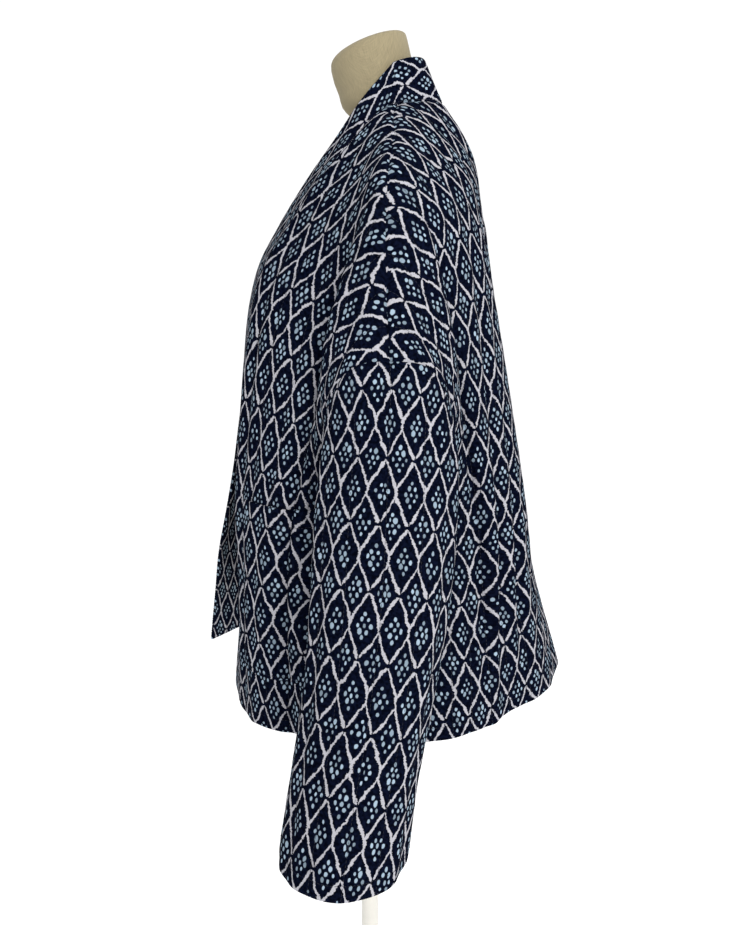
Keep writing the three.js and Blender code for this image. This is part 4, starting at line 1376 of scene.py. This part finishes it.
def tube(points, radius, sides=6):
    """Vertices and faces of a round tube along the points"""
    along = unit(np.gradient(points, axis=0))
    guide = np.where(np.abs(along[:, 2:]) > 0.8, (1.0, 0.0, 0.0), (0.0, 0.0, 1.0))
    side = unit(np.cross(along, guide))
    up = np.cross(side, along)
    turn = np.linspace(0, 2 * np.pi, sides, endpoint=False)[None, :, None]
    rings = points[:, None] + radius * (side[:, None] * np.cos(turn) + up[:, None] * np.sin(turn))
    return rings.reshape(-1, 3), ring_faces(len(points), sides)


def form_seams(grid):
    """The cover's seams: fine ridges down the torso"""
    vertices, faces = [], []
    torso = grid[grid[:, 0, 2] < SEAM_TOP_Z]
    for turn in SEAM_TURNS:
        ring, quads = tube(torso[:, round(turn / 360 * FORM_SIDES) % FORM_SIDES], SEAM_RADIUS)
        faces += [[k + len(vertices) for k in quad] for quad in quads]
        vertices += ring.tolist()
    uv = [(vertices[k][0] + vertices[k][1], vertices[k][2]) for face in faces for k in face]
    piece = link("form_seams", vertices, faces, [linen_material()], uvs={"print": np.array(uv) * MM})
    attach(piece, "root")


def turned(profile, sides):
    """Vertices and faces of a solid turned about the vertical from (radius, height) pairs, bottom to top"""
    turn = np.linspace(0, 2 * np.pi, sides, endpoint=False)
    rings = [(r * math.cos(a), r * math.sin(a), z) for r, z in profile for a in turn]
    return np.array(rings), ring_faces(len(profile), sides)


def iron_piece(name, vertices, faces, node=None):
    """A piece of the stand"""
    piece = link(name, vertices, faces, [iron_material()])
    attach(piece, "root")
    if node:
        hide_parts(node)


def rounded(radius, low, high, edge, steps=5):
    """A turned profile with both its rims rounded"""
    arc = [math.radians(90 * k / steps) for k in range(steps + 1)]
    bottom = [(radius - edge + edge * math.sin(a), low + edge - edge * math.cos(a)) for a in arc]
    top = [(radius - edge + edge * math.cos(a), high - edge + edge * math.sin(a)) for a in arc]
    return bottom + top


class JACKET_OT_stand(bpy.types.Operator):
    """Builds the pole with its sockets and thumbscrew, and the round base"""
    bl_idname = "jacket.stand"
    bl_label = "Stand"

    def execute(self, context):
        collar = context.scene.jacket_form.collar / MM
        pole_low, pole_high = (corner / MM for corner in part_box("stand_pole"))
        base_low, base_high = (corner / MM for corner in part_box("stand_base"))
        radius, low, high, top = base_high.x, base_low.z, base_high.z, pole_high.z
        rim = high - BASE_CROWN
        crown = [(radius * share, high - BASE_CROWN * share ** 2) for share in (0.9, 0.7, 0.5, 0.3, 0.1)]
        for name, profile, sides, node in (
                ("pole", rounded(pole_high.x, pole_low.z, top, 0.6), POLE_SIDES, "stand_pole"),
                ("pole_socket", rounded(collar, top - SOCKET, top - 0.2, 2.5), POLE_SIDES, None),
                ("base_socket", rounded(collar * FOOT_SHARE, high + 0.1, high + FOOT, 3), POLE_SIDES, None),
                ("pole_ring", rounded(pole_high.x + RING_WIDER, high + FOOT + 0.2, high + RING_TOP, 1.5),
                 POLE_SIDES, None),
                ("base", rounded(radius, low, rim, 5) + crown, BASE_SIDES, "stand_base")):
            iron_piece(name, *turned(profile, sides), node)
        vertices, faces = turned(SCREW, SCREW_SIDES)
        x, y, z = vertices.T
        lying = np.stack([x, collar - SCREW_SUNK + z, top - SCREW_DROP - y], 1)
        iron_piece("pole_screw", lying, faces)
        return {"FINISHED"}


def area_light(name, place, size, power, colour):
    """A soft square light that looks at the jacket"""
    data = bpy.data.lights.new(name, "AREA")
    data.shape = "SQUARE"
    data.size = size
    data.energy = power
    data.color = colour
    lamp = bpy.data.objects.new(name, data)
    lamp.location = place
    x, y, z = np.array(LIGHT_AIM) - np.array(place)
    lamp.rotation_euler = (math.atan2(math.hypot(x, y), -z), 0, math.atan2(-x, y))
    bpy.context.scene.collection.objects.link(lamp)


class JACKET_OT_stage(bpy.types.Operator):
    """Builds the floor, the lit walls, the soft lights and the photograph's camera"""
    bl_idname = "jacket.stage"
    bl_label = "Stage"

    def execute(self, context):
        scene = context.scene
        settings = scene.jacket_stage
        data = bpy.data.cameras.new("camera")
        data.lens = CAMERA_LENS
        data.sensor_width = CAMERA_SENSOR
        camera = bpy.data.objects.new("camera", data)
        camera.location = (CAMERA_DISTANCE, 0, CAMERA_HEIGHT)
        camera.rotation_euler = (math.radians(90 - CAMERA_TILT), 0, math.radians(90))
        scene.collection.objects.link(camera)
        scene.camera = camera

        material, _, shader = new_material("white_floor")
        feed(shader, {"Base Color": (*settings.floor, 1), "Roughness": 0.9,
                      "Emission Color": (1, 1, 1, 1), "Emission Strength": settings.glow})
        half = settings.width / 2 / MM
        corners = [(-half, -half, 0), (half, -half, 0), (half, half, 0), (-half, half, 0)]
        floor = link("studio_floor", corners, [(0, 1, 2, 3)], [material])

        world = bpy.data.worlds.new("studio")
        world.use_nodes = True
        tree = world.node_tree
        x, _, z = split(tree, tree.nodes.new("ShaderNodeTexCoord").outputs["Generated"])
        lit = (x * -1.0).ramp(*BACKDROP_EDGE).math("MAXIMUM", z.ramp(*SKIRT_EDGE).rest())
        strength = lit * (settings.backdrop - settings.room) + settings.room
        feed(tree.nodes["Background"], {"Color": (1, 1, 1, 1), "Strength": strength})
        scene.world = world
        scene.view_settings.view_transform = "Standard"
        for name, (place, size, share, colour) in LIGHTS.items():
            area_light(name, place, size, settings.key_power * share, colour)
        return {"FINISHED"}


PIECES = (JACKET_OT_back, JACKET_OT_fronts, JACKET_OT_neckband, JACKET_OT_sleeves, JACKET_OT_pockets,
          JACKET_OT_form, JACKET_OT_stand, JACKET_OT_stage)
SETTINGS = {"jacket_cloth": ClothSettings, "jacket_print": PrintSettings,
            "jacket_form": FormSettings, "jacket_stage": StageSettings}


class JACKET_PT_panel(bpy.types.Panel):
    """Lists the pieces and their settings"""
    bl_idname = "JACKET_PT_panel"
    bl_label = "Quilted jacket"
    bl_space_type = "VIEW_3D"
    bl_region_type = "UI"
    bl_category = "Jacket"

    def draw(self, context):
        for name, group in SETTINGS.items():
            box = self.layout.box()
            for key in group.__annotations__:
                box.prop(getattr(context.scene, name), key)
        for piece in PIECES:
            self.layout.operator(piece.bl_idname)


def register():
    for kind in (*SETTINGS.values(), *PIECES, JACKET_PT_panel):
        bpy.utils.register_class(kind)
    for name, group in SETTINGS.items():
        setattr(bpy.types.Scene, name, PointerProperty(type=group))


def unregister():
    for name in SETTINGS:
        delattr(bpy.types.Scene, name)
    for kind in reversed((*SETTINGS.values(), *PIECES, JACKET_PT_panel)):
        bpy.utils.unregister_class(kind)


def main():
    register()
    for piece in PIECES:
        group, name = piece.bl_idname.split(".")
        getattr(getattr(bpy.ops, group), name)()


if __name__ == "__main__":
    main()
